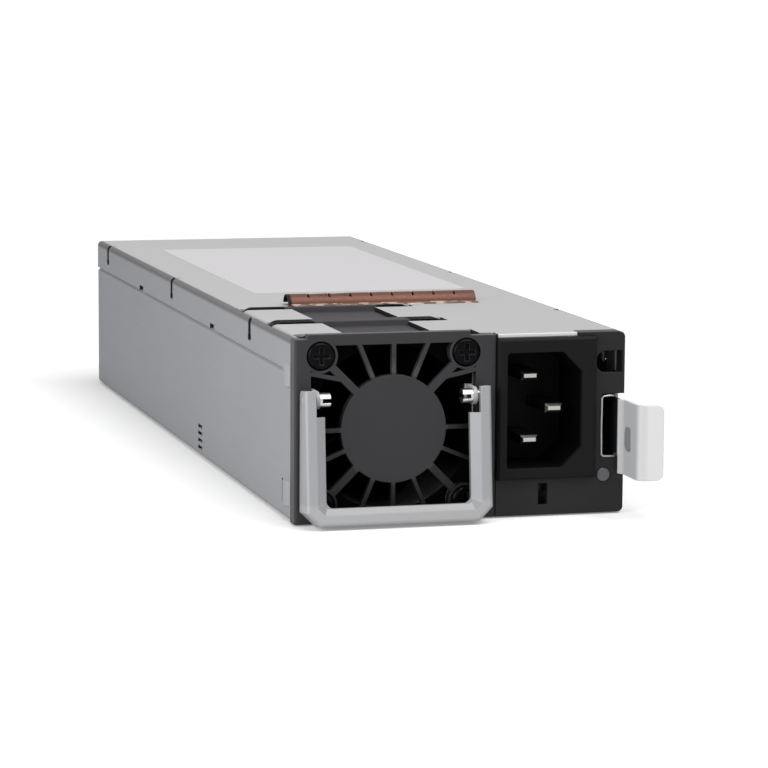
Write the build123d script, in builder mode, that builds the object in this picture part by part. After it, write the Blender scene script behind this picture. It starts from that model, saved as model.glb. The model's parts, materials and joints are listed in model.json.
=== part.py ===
from build123d import *
from math import atan2, cos, radians, sin, tan
import os

os.makedirs("parts", exist_ok=True)

# Sizes of the folded steel case, in mm; the front faces -Y and the underside lies on Z = 0
SHEET = 0.8
BEND_R = 1.2
SEAM_GAP = 0.1
LID_GAP = 0.3
COVER_FLANGE = 7.2
BEZEL_DEPTH = 4.0
TAB_REACH = 13.0
TAB_BEND_R = 2.2
TAB_FRONT = 11.0
COVER_EAR_DROP = 3.4
COVER_EAR_LENGTH = 6.0
SLIT_W = 2.4
SLIT_H = 4.4
SLIT_END_R = 1.5
SLIT_FIRST = 42.5
SLIT_PITCH = 86.0
SEAM_NOTCH_L = 5.0
SEAM_NOTCH_H = 1.2
LANCE_OUT = 0.8
LANCE_H = 5.2
LANCE_L = 5.2
LANCE_BOTTOM = 3.2
SIDE_VENTS = 4
SIDE_VENT_L = 4.5
SIDE_VENT_H = 0.9
SIDE_VENT_PITCH = 1.7
SIDE_VENT_BOTTOM = 2.1
SIDE_VENT_SETBACK = 94.8
VENT_FLAT = 4.2
VENT_RIB = 1.0
TONGUE_WINDOW_H = 5.8

# The fan: two square halves of the 40 mm class, one behind the other
FAN_SIZE = 39.8
FAN_LENGTH = 28.0
FAN_FLANGE = 2.6
FAN_HOLE_INSET = 3.9
FAN_CORNER_R = 2.5
FAN_SIDE = 1.8
FAN_LIFT = 0.0
FAN_PROUD = 0.3
FAN_GAP = 0.4
FAN_SADDLE_W = 25.0
FAN_DUCT_RIM = 2.1
FAN_WALL = 0.8
TIP_GAP = 0.5
HUB_R = 9.5
HUB_WALL = 0.9
HUB_LENGTH = 19.0
MAGNET_T = 1.0
STATOR_GAP = 0.5
STATOR_L = 8.0
BEARING_R = 2.6
BEARING_L = 3.0
BEARING_TUBE_WALL = 0.8
BEARING_TUBE_L = 14.0
SHAFT_R = 1.0
RUNNING_FIT = 0.03
STRUT_T = 2.2

# The front: fan bezel, inlet panel and their fasteners
BEZEL_PLATE = 2.2
BEZEL_RAISE = 1.0
BEZEL_RIM = 1.2
GRILLE_RIM = 1.7
GRILLE_T = 1.6
GRILLE_DISC_R = 11.6
SPOKE_W = 0.9
CORNER_SPOKE_W = 1.7
BOSS_R = 3.7
SCREW_R = 1.5
SCREW_CLEAR = 0.15
SCREW_HEAD_R = 3.0
SCREW_HEAD_H = 1.3
CROSS_L = 3.7
CROSS_W = 0.95
PANEL_GAP = 0.2
PANEL_PLATE = 1.6
PANEL_RIM = 1.4
COVER_LIP_SETBACK = 0.6
PANEL_ARM_L = 12.0
PANEL_ARM_W = 3.0

# The mains inlet
DIVIDER = 2.9
INLET_FLANGE_W = 22.3
INLET_FLANGE_H = 30.7
INLET_FLANGE_T = 1.5
INLET_FLANGE_BOTTOM = 8.0
INLET_MOUTH_W = 16.9
INLET_MOUTH_H = 25.2
INLET_MOUTH_SHIFT = 0.7
INLET_MOUTH_DEPTH = 16.0
INLET_CHAMFER = 4.3
INLET_WALL = 1.2
INLET_DEPTH = 23.0
PIN_W = 4.0
PIN_T = 2.0
PIN_PITCH = 14.0
PIN_EARTH_SHIFT = 5.0
PIN_SETBACK = 3.0
PIN_FIT = 0.05
TAIL_T = 1.0

# The latch leaf and the bay beside the inlet
LATCH_BAY = 6.7
LATCH_T = 0.8
LATCH_BOTTOM = 8.6
LATCH_NECK_BOTTOM = 12.8
LATCH_TOP = 24.8
LATCH_LENGTH = 70.0
LATCH_REACH = 12.0
LATCH_THUMB = 4.8
LATCH_BEND_R = 1.8
LATCH_JOG = 0.8
TOOTH_OUT = 2.0
TOOTH_LENGTH = 12.0
TOOTH_FRONT = 13.0
TOOTH_INSET = 2.0
WINDOW_GAP = 0.6
LATCH_WINDOW_W = 5.0
NOTCH_R = 2.4
NOTCH_INSET = 4.2
NOTCH_RIM = 0.5
LENS_R = 1.5

# The carrying handle
HANDLE_W = 41.0
HANDLE_SHIFT = -0.3
HANDLE_T = 1.0
HANDLE_FACE = 4.6
HANDLE_BAR = 3.9
HANDLE_DISH = 1.2
HANDLE_INNER_R = 0.65
HANDLE_BEND_R = 0.9
HANDLE_CORNER = 0.3
HANDLE_LEAN = 5.0
HANDLE_GAP = 0.8
HANDLE_CLEAR = 0.6
HANDLE_FLOOR = 0.3
PIVOT_OUT = 2.4
PIVOT_RISE = 7.0
PIVOT_R = 1.0
PIVOT_FIT = 0.05
LEG_TOP = 2.1
LEG_FRONT = 2.8
LEG_NOTCH = 3.5
LEG_STRIP = 2.5
BRACKET_SHEET = 0.8
BRACKET_FLANGE_L = 21.0
EAR_INSET = 2.8
EAR_GAP = 0.5
EAR_R = 1.9
STUD_HEAD_R = 1.6
STUD_HEAD_L = 2.4
STUD_SLOT = 0.9

# The spring contact strip on the lid
GASKET_FINGER = 5.0
GASKET_COUNT = 9
GASKET_SLIT = 0.5
GASKET_H = 2.5
GASKET_D = 5.0
GASKET_T = 0.25
GASKET_FOOT = 2.2
GASKET_LEFT = 13.7
GASKET_SETBACK = 62.0

# The bays along the length, from the front to the rear
FAN_BAY = 62.0
FILTER_BAY = 30.0
BOOST_BAY = 58.0
TRANSFORMER_BAY = 42.0
OUTPUT_BAY = 38.0

# The widest row on the circuit board: boost choke, heat sink and bulk capacitor
ROW_LEFT = 5.1
BOOST_CHOKE_R = 12.5
BOOST_WIRE = 1.4
ROW_GAP = 1.1
SINK_T = 3.0
SINK_AIR = 3.3
BULK_R = 14.2
ROW_RIGHT = 4.8
FILTER_LEFT = 7.8
FILTER_CHOKE_R = 10.5
FILTER_WIRE = 1.2

# The circuit board
BOARD_Z = 6.0
BOARD_T = 1.6
BOARD_EDGE = 3.0
INSULATOR_T = 0.3
TONGUE_W = 50.0
TONGUE_L = 9.0
CONTACT_COUNT = 12
CONTACT_W = 2.6
CONTACT_T = 0.15

# What follows from these
ROW_W = ROW_LEFT + 2 * (BOOST_CHOKE_R + BOOST_WIRE) + ROW_GAP + SINK_T + SINK_AIR + 2 * BULK_R + ROW_RIGHT
FAN_SIDE_W = max(
    FAN_SIZE + DIVIDER,
    (FAN_SIZE + HANDLE_W) / 2 + HANDLE_SHIFT + HANDLE_CLEAR,
    ROW_W - FAN_SIDE - INLET_FLANGE_W - LATCH_BAY,
)
CASE_W = FAN_SIDE + FAN_SIDE_W + INLET_FLANGE_W + LATCH_BAY
CASE_H = max(FAN_LIFT + FAN_SIZE - FAN_PROUD, INLET_FLANGE_BOTTOM + INLET_FLANGE_H + SHEET)
CASE_L = FAN_BAY + FILTER_BAY + BOOST_BAY + TRANSFORMER_BAY + OUTPUT_BAY
LEFT = -CASE_W / 2
RIGHT = CASE_W / 2
FRONT = -CASE_L / 2
REAR = CASE_L / 2
STEEL_FRONT = FRONT + BEZEL_DEPTH
FILTER_Y = FRONT + FAN_BAY
BOOST_Y = FILTER_Y + FILTER_BAY
TRANSFORMER_Y = BOOST_Y + BOOST_BAY
OUTPUT_Y = TRANSFORMER_Y + TRANSFORMER_BAY
JOG = SHEET + SEAM_GAP
WALL_TOP = CASE_H - SHEET - LID_GAP
SEAM_Z = CASE_H - COVER_FLANGE
JOG_TOP = SEAM_Z - SEAM_GAP
JOG_BOTTOM = JOG_TOP - JOG
FAN_LEFT = LEFT + FAN_SIDE
FAN_RIGHT = FAN_LEFT + FAN_SIZE
FAN_X = FAN_LEFT + FAN_SIZE / 2
FAN_Z = FAN_LIFT + FAN_SIZE / 2
FAN_FRONT = FRONT + BEZEL_PLATE + BRACKET_SHEET
FAN_JOINT = FAN_FRONT + FAN_LENGTH
FAN_REAR = FAN_JOINT + FAN_LENGTH
FAN_BORE_R = FAN_SIZE / 2 - FAN_DUCT_RIM
IMPELLER_R = FAN_BORE_R - TIP_GAP
GRILLE_OPEN = FAN_SIZE - 2 * GRILLE_RIM
FAN_HOLE = FAN_SIZE / 2 - FAN_HOLE_INSET
FAN_HOLES = [(FAN_X + i * FAN_HOLE, FAN_Z + j * FAN_HOLE) for i in (-1, 1) for j in (-1, 1)]
TABS = (
    (FRONT + TAB_FRONT, FAN_JOINT - FAN_FLANGE - FAN_GAP),
    (FAN_JOINT + FAN_FLANGE + FAN_GAP, FAN_REAR - FAN_FLANGE - FAN_GAP),
)
BANDS = (
    (STEEL_FRONT - 1, FRONT + TAB_FRONT),
    (FAN_JOINT - FAN_FLANGE - FAN_GAP, FAN_JOINT + FAN_FLANGE + FAN_GAP),
    (FAN_REAR - FAN_FLANGE - FAN_GAP, FAN_REAR + FAN_GAP),
)
PANEL_X = FAN_LEFT + FAN_SIDE_W
SEAM_X = PANEL_X - PANEL_GAP
INLET_X = RIGHT - LATCH_BAY - INLET_FLANGE_W / 2
INLET_Z = INLET_FLANGE_BOTTOM + INLET_FLANGE_H / 2
MOUTH_X = INLET_X - INLET_MOUTH_SHIFT
MOUTH_Z = INLET_Z - INLET_MOUTH_SHIFT / 2
LATCH_X = RIGHT - SHEET - SEAM_GAP - LATCH_T
LATCH_REAR = FRONT + LATCH_LENGTH
HANDLE_X = FAN_X + HANDLE_SHIFT
PIVOT_Y = FRONT - PIVOT_OUT
PIVOT_Z = FAN_Z + PIVOT_RISE
BOARD_TOP = BOARD_Z + BOARD_T
BOARD_FRONT = FRONT + INLET_DEPTH + 1
PANEL_ARMS = (SHEET + 2.4, JOG_BOTTOM - 4)
STANDOFFS = (
    (LEFT + 6.5, FILTER_Y + 4),
    (LEFT + 6.5, TRANSFORMER_Y - 20),
    (RIGHT - 10.5, FRONT + 28),
    (RIGHT - 8, TRANSFORMER_Y),
    (LEFT + 6.5, REAR - 7),
    (RIGHT - 8, REAR - 7),
)


def facing_front(y):
    """Plane at depth y, sketch axes X and Z, its normal out of the front."""
    return Plane.XZ.offset(-y)


def block(x, y, z, mode=Mode.ADD):
    """Block between the limits x, y and z, each a pair."""
    with Locations(((x[0] + x[1]) / 2, (y[0] + y[1]) / 2, (z[0] + z[1]) / 2)):
        Box(abs(x[1] - x[0]), abs(y[1] - y[0]), abs(z[1] - z[0]), mode=mode)


def rod_x(radius, x, y, z, mode=Mode.ADD):
    """Round bar along X between the limits x."""
    with Locations(((x[0] + x[1]) / 2, y, z)):
        Cylinder(radius, abs(x[1] - x[0]), rotation=(0, 90, 0), mode=mode)


def rod_y(radius, x, y, z, mode=Mode.ADD):
    """Round bar along Y between the limits y."""
    with Locations((x, (y[0] + y[1]) / 2, z)):
        Cylinder(radius, abs(y[1] - y[0]), rotation=(90, 0, 0), mode=mode)


def rod_z(radius, x, y, z, mode=Mode.ADD):
    """Round bar along Z between the limits z."""
    with Locations((x, y, (z[0] + z[1]) / 2)):
        Cylinder(radius, abs(z[1] - z[0]), mode=mode)


def write(piece, name):
    """Labels a finished piece and writes its file."""
    piece.label = name
    export_step(piece, f"parts/{name}.step")


# Base chassis: floor, two stepped side walls and a rear wall folded from one sheet
with BuildPart() as base_chassis:
    with BuildSketch(facing_front(REAR)) as wall_section:
        with BuildLine():
            Polyline(
                (LEFT + JOG, WALL_TOP),
                (LEFT + JOG, JOG_TOP),
                (LEFT, JOG_BOTTOM),
                (LEFT, 0),
                (RIGHT, 0),
                (RIGHT, JOG_BOTTOM),
                (RIGHT - JOG, JOG_TOP),
                (RIGHT - JOG, WALL_TOP),
            )
            offset(amount=SHEET, side=Side.LEFT)
        make_face()
        fillet(wall_section.vertices().group_by(Axis.Y)[1], BEND_R - SHEET)
        fillet(wall_section.vertices().group_by(Axis.Y)[0], BEND_R)
    extrude(amount=REAR - STEEL_FRONT)
    # the rear wall, bent up from the floor, with a window for the board's tongue and air holes
    block((LEFT + 2 * JOG, RIGHT - 2 * JOG), (REAR - SHEET, REAR), (0, WALL_TOP))
    fillet(
        base_chassis.edges().filter_by(Axis.X).group_by(Axis.Z)[0].sort_by(Axis.Y)[-1],
        BEND_R / 2,
    )
    block(
        (-TONGUE_W / 2 - 1, TONGUE_W / 2 + 1),
        (REAR - 2 * SHEET, REAR + 1),
        (BOARD_Z - 1.6, BOARD_Z - 1.6 + TONGUE_WINDOW_H),
        Mode.SUBTRACT,
    )
    vent_z = (BOARD_Z + TONGUE_WINDOW_H + WALL_TOP) / 2
    with BuildSketch(facing_front(REAR)):
        with Locations((0, vent_z)):
            with HexLocations((VENT_FLAT + VENT_RIB) / 2, 12, 4):
                RegularPolygon(VENT_FLAT / 2, 6, major_radius=False, rotation=30)
    extrude(amount=SHEET, mode=Mode.SUBTRACT)
    # two tabs of the left wall folded over the fan
    for tab_front, tab_rear in TABS:
        with BuildSketch(facing_front(tab_rear)):
            with BuildLine():
                FilletPolyline(
                    (LEFT + JOG, JOG_TOP + 1),
                    (LEFT + JOG, CASE_H),
                    (LEFT + TAB_REACH, CASE_H),
                    radius=TAB_BEND_R,
                )
                offset(amount=SHEET, side=Side.RIGHT)
            make_face()
        extrude(amount=tab_rear - tab_front)
    # the floor is open under the fan, with bands for its square flanges
    for band_front, band_rear in BANDS:
        block(
            (FAN_LEFT - FAN_GAP / 2, FAN_RIGHT + FAN_GAP / 2),
            (band_front, band_rear),
            (-1, SHEET + SEAM_GAP),
            Mode.SUBTRACT,
        )
    block(
        (FAN_LEFT + TAB_REACH, FAN_RIGHT - TAB_REACH),
        (STEEL_FRONT - 1, FAN_REAR + FAN_GAP),
        (-1, SHEET + SEAM_GAP),
        Mode.SUBTRACT,
    )
    # both walls make room for the lid's front ears
    for wall_x in (LEFT, RIGHT):
        block(
            (wall_x - JOG - SHEET - 1, wall_x + JOG + SHEET + 1),
            (STEEL_FRONT - 1, STEEL_FRONT + COVER_EAR_LENGTH + SEAM_GAP),
            (SEAM_Z - COVER_EAR_DROP - SEAM_GAP, CASE_H),
            Mode.SUBTRACT,
        )
    # the lid's slits are open through both walls
    for wall_x, inward in ((LEFT, 1), (RIGHT, -1)):
        for i in range(3):
            slit_y = FRONT + SLIT_FIRST + i * SLIT_PITCH
            block(
                (wall_x, wall_x + inward * (JOG + SHEET + SEAM_GAP)),
                (slit_y - SLIT_END_R - SEAM_GAP, slit_y + SLIT_END_R + SEAM_GAP),
                (CASE_H - SLIT_H - SLIT_END_R, CASE_H + 1),
                Mode.SUBTRACT,
            )
    # bulged lance low on the left wall, next to the bezel
    lance_front = STEEL_FRONT + 0.6
    lance_rear = lance_front + LANCE_L
    with BuildSketch(Plane.XY.offset(LANCE_BOTTOM)):
        with BuildLine():
            ThreePointArc(
                (LEFT + 0.2, lance_front),
                (LEFT - LANCE_OUT, (lance_front + lance_rear) / 2),
                (LEFT + 0.2, lance_rear),
            )
            Line((LEFT + 0.2, lance_rear), (LEFT + 0.2, lance_front))
        make_face()
    extrude(amount=LANCE_H)
    block(
        (LEFT - 1, LEFT + SHEET + SEAM_GAP),
        (lance_rear + 0.3, lance_rear + 1.5),
        (LANCE_BOTTOM, LANCE_BOTTOM + LANCE_H),
        Mode.SUBTRACT,
    )
    # short air slots low on the left wall
    vent_y = FRONT + SIDE_VENT_SETBACK
    for i in range(SIDE_VENTS):
        vent_low = SIDE_VENT_BOTTOM + i * SIDE_VENT_PITCH
        block(
            (LEFT - 1, LEFT + SHEET + SEAM_GAP),
            (vent_y - SIDE_VENT_L / 2, vent_y + SIDE_VENT_L / 2),
            (vent_low - SIDE_VENT_H / 2, vent_low + SIDE_VENT_H / 2),
            Mode.SUBTRACT,
        )
    # window for the latch tooth, holes for the latch rivets
    block(
        (RIGHT - SHEET - SEAM_GAP / 2, RIGHT + 1),
        (FRONT + TOOTH_FRONT - 2 * WINDOW_GAP, FRONT + TOOTH_FRONT + TOOTH_LENGTH + WINDOW_GAP),
        (LATCH_NECK_BOTTOM + TOOTH_INSET - WINDOW_GAP, LATCH_TOP - TOOTH_INSET + WINDOW_GAP),
        Mode.SUBTRACT,
    )
    for rivet_z in (LATCH_NECK_BOTTOM + 3, LATCH_TOP - 3):
        rod_x(SCREW_R, (RIGHT - 2, RIGHT + 1), LATCH_REAR - 4, rivet_z, Mode.SUBTRACT)
    # windows for the noses of the panel's arms
    for arm_z in PANEL_ARMS:
        block(
            (RIGHT - SHEET - SEAM_GAP / 2, RIGHT + 1),
            (FRONT + PANEL_ARM_L - 3.2, FRONT + PANEL_ARM_L - 0.6),
            (arm_z - PANEL_ARM_W / 2, arm_z + PANEL_ARM_W / 2),
            Mode.SUBTRACT,
        )
    # screw holes: handle bracket, lid
    rod_z(SCREW_R, FAN_RIGHT + 5.0, FRONT + 14, (-1, 2), Mode.SUBTRACT)
    for lid_y in (BOOST_Y, OUTPUT_Y):
        rod_x(SCREW_R, (RIGHT - 4, RIGHT), lid_y, SEAM_Z + COVER_FLANGE / 2, Mode.SUBTRACT)
write(base_chassis.part, "base_chassis")

# Top cover: shallow U that drops over the stepped walls
with BuildPart() as top_cover:
    with BuildSketch(facing_front(REAR - SEAM_GAP)) as lid_section:
        with BuildLine():
            Polyline((LEFT, SEAM_Z), (LEFT, CASE_H), (RIGHT, CASE_H), (RIGHT, SEAM_Z))
            offset(amount=SHEET, side=Side.RIGHT)
        make_face()
        fillet(lid_section.vertices().group_by(Axis.Y)[-2], BEND_R - SHEET)
        fillet(lid_section.vertices().group_by(Axis.Y)[-1], BEND_R)
    extrude(amount=REAR - SEAM_GAP - STEEL_FRONT)
    # ears that reach lower at the front, the left one with a bulged lance
    for ear in ((LEFT, LEFT + SHEET), (RIGHT - SHEET, RIGHT)):
        block(
            ear,
            (STEEL_FRONT, STEEL_FRONT + COVER_EAR_LENGTH),
            (SEAM_Z - COVER_EAR_DROP, SEAM_Z + 1),
        )
    with BuildSketch(Plane.XY.offset(SEAM_Z - COVER_EAR_DROP)):
        with BuildLine():
            ThreePointArc(
                (LEFT + 0.2, STEEL_FRONT + 0.6),
                (LEFT - LANCE_OUT, STEEL_FRONT + 2.8),
                (LEFT + 0.2, STEEL_FRONT + 5.0),
            )
            Line((LEFT + 0.2, STEEL_FRONT + 5.0), (LEFT + 0.2, STEEL_FRONT + 0.6))
        make_face()
    extrude(amount=COVER_EAR_DROP + 1.4)
    # the lip over the inlet panel
    block(
        (PANEL_X + 0.4, INLET_X + INLET_FLANGE_W / 2 - 4),
        (FRONT + COVER_LIP_SETBACK, STEEL_FRONT + 1),
        (CASE_H - SHEET, CASE_H),
    )
    # open over the fan: to the fan's side in front, to the fold beside the tabs
    for open_left, open_front, open_rear in (
        (FAN_LEFT - FAN_GAP / 2, STEEL_FRONT - 1, FRONT + TAB_FRONT),
        (LEFT + SHEET, FRONT + TAB_FRONT - FAN_GAP, FAN_REAR + FAN_GAP),
    ):
        block(
            (open_left, FAN_RIGHT - TAB_REACH + 4),
            (open_front, open_rear),
            (WALL_TOP - 1, CASE_H + 1),
            Mode.SUBTRACT,
        )
    for band_front, band_rear in BANDS:
        block(
            (FAN_X, FAN_RIGHT + FAN_GAP / 2),
            (band_front, band_rear),
            (WALL_TOP - 1, CASE_H + 1),
            Mode.SUBTRACT,
        )
    # slits through the flange and its fold, each ending in a small hole
    for wall_x, inward in ((LEFT, 1), (RIGHT, -1)):
        for i in range(3):
            slit_y = FRONT + SLIT_FIRST + i * SLIT_PITCH
            block(
                (wall_x - inward, wall_x + inward * 2.2),
                (slit_y - SLIT_W / 2, slit_y + SLIT_W / 2),
                (CASE_H - SLIT_H, CASE_H + 1),
                Mode.SUBTRACT,
            )
            rod_x(SLIT_END_R, (wall_x - inward, wall_x + inward), slit_y, CASE_H - SLIT_H, Mode.SUBTRACT)
        for i in range(2):
            notch_y = FRONT + SLIT_FIRST + (i + 0.45) * SLIT_PITCH
            block(
                (wall_x - inward, wall_x + inward),
                (notch_y - SEAM_NOTCH_L / 2, notch_y + SEAM_NOTCH_L / 2),
                (SEAM_Z - 1, SEAM_Z + SEAM_NOTCH_H),
                Mode.SUBTRACT,
            )
    for lid_y in (BOOST_Y, OUTPUT_Y):
        rod_x(
            SCREW_R + SCREW_CLEAR,
            (RIGHT - 1, RIGHT + 1),
            lid_y,
            SEAM_Z + COVER_FLANGE / 2,
            Mode.SUBTRACT,
        )
write(top_cover.part, "top_cover")

# Two screws that hold the cover to the right wall
with BuildPart() as cover_screws:
    for lid_y in (BOOST_Y, OUTPUT_Y):
        rod_x(SCREW_HEAD_R, (RIGHT, RIGHT + 0.6), lid_y, SEAM_Z + COVER_FLANGE / 2)
        rod_x(SCREW_R, (RIGHT - 3.4, RIGHT), lid_y, SEAM_Z + COVER_FLANGE / 2)
        block(
            (RIGHT + 0.3, RIGHT + 1),
            (lid_y - 0.4, lid_y + 0.4),
            (SEAM_Z, SEAM_Z + COVER_FLANGE),
            Mode.SUBTRACT,
        )
write(cover_screws.part, "cover_screws")

# Spring contact strip across the cover: an arch cut into fingers
gasket_y = FRONT + GASKET_SETBACK
gasket_x = LEFT + GASKET_LEFT
with BuildPart() as contact_strip:
    with BuildSketch(Plane.YZ.offset(gasket_x)):
        with BuildLine():
            foot = Line((gasket_y - GASKET_FOOT, CASE_H), (gasket_y + 0.3, CASE_H))
            ThreePointArc(
                foot @ 1,
                (gasket_y + GASKET_D / 2, CASE_H + GASKET_H - GASKET_T),
                (gasket_y + GASKET_D, CASE_H + 0.4),
            )
            offset(amount=GASKET_T, side=Side.LEFT)
        make_face()
    extrude(amount=GASKET_COUNT * GASKET_FINGER)
    for i in range(1, GASKET_COUNT):
        slit_x = gasket_x + i * GASKET_FINGER
        block(
            (slit_x - GASKET_SLIT / 2, slit_x + GASKET_SLIT / 2),
            (gasket_y + 0.9, gasket_y + GASKET_D + 2),
            (CASE_H + 2 * GASKET_T, CASE_H + GASKET_H + 1),
            Mode.SUBTRACT,
        )
write(contact_strip.part, "contact_strip")

# Fan bezel: moulded plate with a spoked grille, raised in the middle to cover the fan
with BuildPart() as fan_bezel:
    with BuildSketch(facing_front(FRONT + BEZEL_PLATE)):
        with Locations(((LEFT + SEAM_X) / 2, CASE_H / 2)):
            Rectangle(SEAM_X - LEFT, CASE_H)
        with Locations((FAN_X - 1, (CASE_H + BEZEL_RAISE) / 2)):
            Rectangle(FAN_SIZE - 4, CASE_H + BEZEL_RAISE)
        with Locations((FAN_X, FAN_Z)):
            RectangleRounded(GRILLE_OPEN, GRILLE_OPEN, 2.0, mode=Mode.SUBTRACT)
        with Locations(*FAN_HOLES):
            Circle(BOSS_R)
        with Locations((FAN_X, FAN_Z)):
            Circle(GRILLE_DISC_R)
    extrude(amount=BEZEL_PLATE)
    with BuildSketch(facing_front(FRONT + GRILLE_T)):
        for step in range(16):
            angle = 22.5 * step
            if step in (1, 7):
                continue
            along = max(abs(cos(radians(angle))), abs(sin(radians(angle))))
            reach = (GRILLE_OPEN / 2) / along + 0.5
            middle = (GRILLE_DISC_R + reach) / 2 - 0.3
            with Locations((FAN_X + middle * cos(radians(angle)), FAN_Z + middle * sin(radians(angle)))):
                Rectangle(
                    reach - GRILLE_DISC_R + 0.6,
                    CORNER_SPOKE_W if step in (2, 6, 10, 14) else SPOKE_W,
                    rotation=angle,
                )
        for side in (-1, 1):
            web_in = GRILLE_DISC_R
            web_out = GRILLE_OPEN / 2 + 0.4
            with Locations((FAN_X + side * (web_in + web_out) / 2, FAN_Z + GRILLE_DISC_R)):
                Rectangle(web_out - web_in + 1.2, SPOKE_W, rotation=side * 12)
    extrude(amount=GRILLE_T)
    for hole_x, hole_z in FAN_HOLES:
        rod_y(SCREW_R + SCREW_CLEAR, hole_x, (FRONT - 1, FRONT + BEZEL_DEPTH), hole_z, Mode.SUBTRACT)
        rod_y(SCREW_HEAD_R + SCREW_CLEAR, hole_x, (FRONT - 1, FRONT + 0.9), hole_z, Mode.SUBTRACT)
    # rims on the left and beside the fan that meet the steel
    block((LEFT, LEFT + SHEET), (FRONT + BEZEL_PLATE - 1, STEEL_FRONT), (0, CASE_H))
    for rim in ((LEFT, FAN_LEFT), (FAN_RIGHT, SEAM_X)):
        block(rim, (FRONT + BEZEL_PLATE - 1, STEEL_FRONT), (CASE_H - BEZEL_RIM, CASE_H))
    fillet(
        fan_bezel.edges().filter_by(Axis.Z).group_by(Axis.X)[0].group_by(Axis.Y)[0],
        0.6,
    )
write(fan_bezel.part, "fan_bezel")

# Four pan head screws through the bezel and the bracket into the fan
with BuildPart() as grille_screws:
    for hole_x, hole_z in FAN_HOLES:
        rod_y(SCREW_R, hole_x, (FRONT + 0.5, FAN_FRONT + FAN_FLANGE), hole_z)
        rod_y(SCREW_HEAD_R, hole_x, (FRONT + 0.9 - SCREW_HEAD_H, FRONT + 0.9), hole_z)
    fillet(
        grille_screws.edges().filter_by(GeomType.CIRCLE).group_by(Axis.Y)[0],
        0.8,
    )
    for hole_x, hole_z in FAN_HOLES:
        for half_x, half_z in ((CROSS_L / 2, CROSS_W / 2), (CROSS_W / 2, CROSS_L / 2)):
            block(
                (hole_x - half_x, hole_x + half_x),
                (FRONT - SCREW_HEAD_H, FRONT + 0.5),
                (hole_z - half_z, hole_z + half_z),
                Mode.SUBTRACT,
            )
write(grille_screws.part, "grille_screws")

# Inlet panel: moulded plate on the right with rims that meet the steel
lip_end = INLET_X + INLET_FLANGE_W / 2 - 3.8
notch_z = CASE_H - 6.5
window_bottom = LATCH_NECK_BOTTOM - WINDOW_GAP
window_top = LATCH_TOP + 2 * WINDOW_GAP
with BuildPart() as inlet_panel:
    block((PANEL_X, RIGHT), (FRONT, FRONT + PANEL_PLATE), (0, WALL_TOP))
    block((lip_end, RIGHT), (FRONT, STEEL_FRONT), (CASE_H - PANEL_RIM, CASE_H))
    block((lip_end, RIGHT), (FRONT, FRONT + PANEL_PLATE), (WALL_TOP - 1, CASE_H))
    block((PANEL_X, RIGHT), (FRONT, STEEL_FRONT), (0, SHEET))
    block((RIGHT - PANEL_RIM, RIGHT), (FRONT, STEEL_FRONT), (0, CASE_H))
    right_corners = inlet_panel.edges().filter_by(Axis.Y).group_by(Axis.X)[-1].sort_by(Axis.Z)
    fillet([right_corners[0], right_corners[-1]], BEND_R)
    # two arms that reach back inside the right wall
    for arm_z in PANEL_ARMS:
        block(
            (RIGHT - SHEET - 1.8, RIGHT - SHEET - SEAM_GAP),
            (FRONT + PANEL_PLATE - 1, FRONT + PANEL_ARM_L),
            (arm_z - PANEL_ARM_W / 2, arm_z + PANEL_ARM_W / 2),
        )
        block(
            (RIGHT - SHEET - 1, RIGHT - 0.2),
            (FRONT + PANEL_ARM_L - 3, FRONT + PANEL_ARM_L - 0.8),
            (arm_z - PANEL_ARM_W / 2 + 0.2, arm_z + PANEL_ARM_W / 2 - 0.2),
        )
    # openings for the inlet body, the tie slot, the lens, the finger notch and the latch
    block(
        (MOUTH_X - INLET_MOUTH_W / 2 - INLET_WALL - 0.1, MOUTH_X + INLET_MOUTH_W / 2 + INLET_WALL + 0.1),
        (FRONT - 1, FRONT + PANEL_PLATE + 1),
        (MOUTH_Z - INLET_MOUTH_H / 2 - INLET_WALL - 0.1, MOUTH_Z + INLET_MOUTH_H / 2 + INLET_WALL + 0.1),
        Mode.SUBTRACT,
    )
    block(
        (INLET_X - 1.5, INLET_X + 0.6),
        (FRONT - 1, FRONT + PANEL_PLATE + 1),
        (2.2, 6.9),
        Mode.SUBTRACT,
    )
    rod_y(LENS_R + 0.05, RIGHT - 4.6, (FRONT - 1, FRONT + PANEL_PLATE + 1), 8.3, Mode.SUBTRACT)
    rod_y(NOTCH_R, RIGHT - NOTCH_INSET, (FRONT - 1, FRONT + PANEL_PLATE + 1), notch_z, Mode.SUBTRACT)
    block(
        (RIGHT - NOTCH_INSET, RIGHT - NOTCH_RIM),
        (FRONT - 1, STEEL_FRONT + 1),
        (notch_z - NOTCH_R, notch_z + NOTCH_R),
        Mode.SUBTRACT,
    )
    block(
        (RIGHT - LATCH_WINDOW_W, RIGHT + 1),
        (FRONT - 1, STEEL_FRONT + 1),
        (window_bottom, window_top),
        Mode.SUBTRACT,
    )
write(inlet_panel.part, "inlet_panel")

# Status lens: light pipe from the lamp on the board to the panel
lens_x = RIGHT - 4.6
lens_z = 8.3
with BuildPart() as status_lens:
    rod_y(LENS_R, lens_x, (FRONT - 0.4, BOARD_FRONT - 0.4), lens_z)
    fillet(status_lens.edges().filter_by(GeomType.CIRCLE).group_by(Axis.Y)[0], 0.35)
    rod_y(LENS_R + 0.5, lens_x, (FRONT + PANEL_PLATE, FRONT + PANEL_PLATE + 1.2), lens_z)
write(status_lens.part, "status_lens")

with BuildPart() as status_lamp:
    block((lens_x - 1.6, lens_x + 1.6), (BOARD_FRONT - 0.4, BOARD_FRONT + 2.6), (BOARD_TOP, BOARD_TOP + 3))
write(status_lamp.part, "status_lamp")

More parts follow.
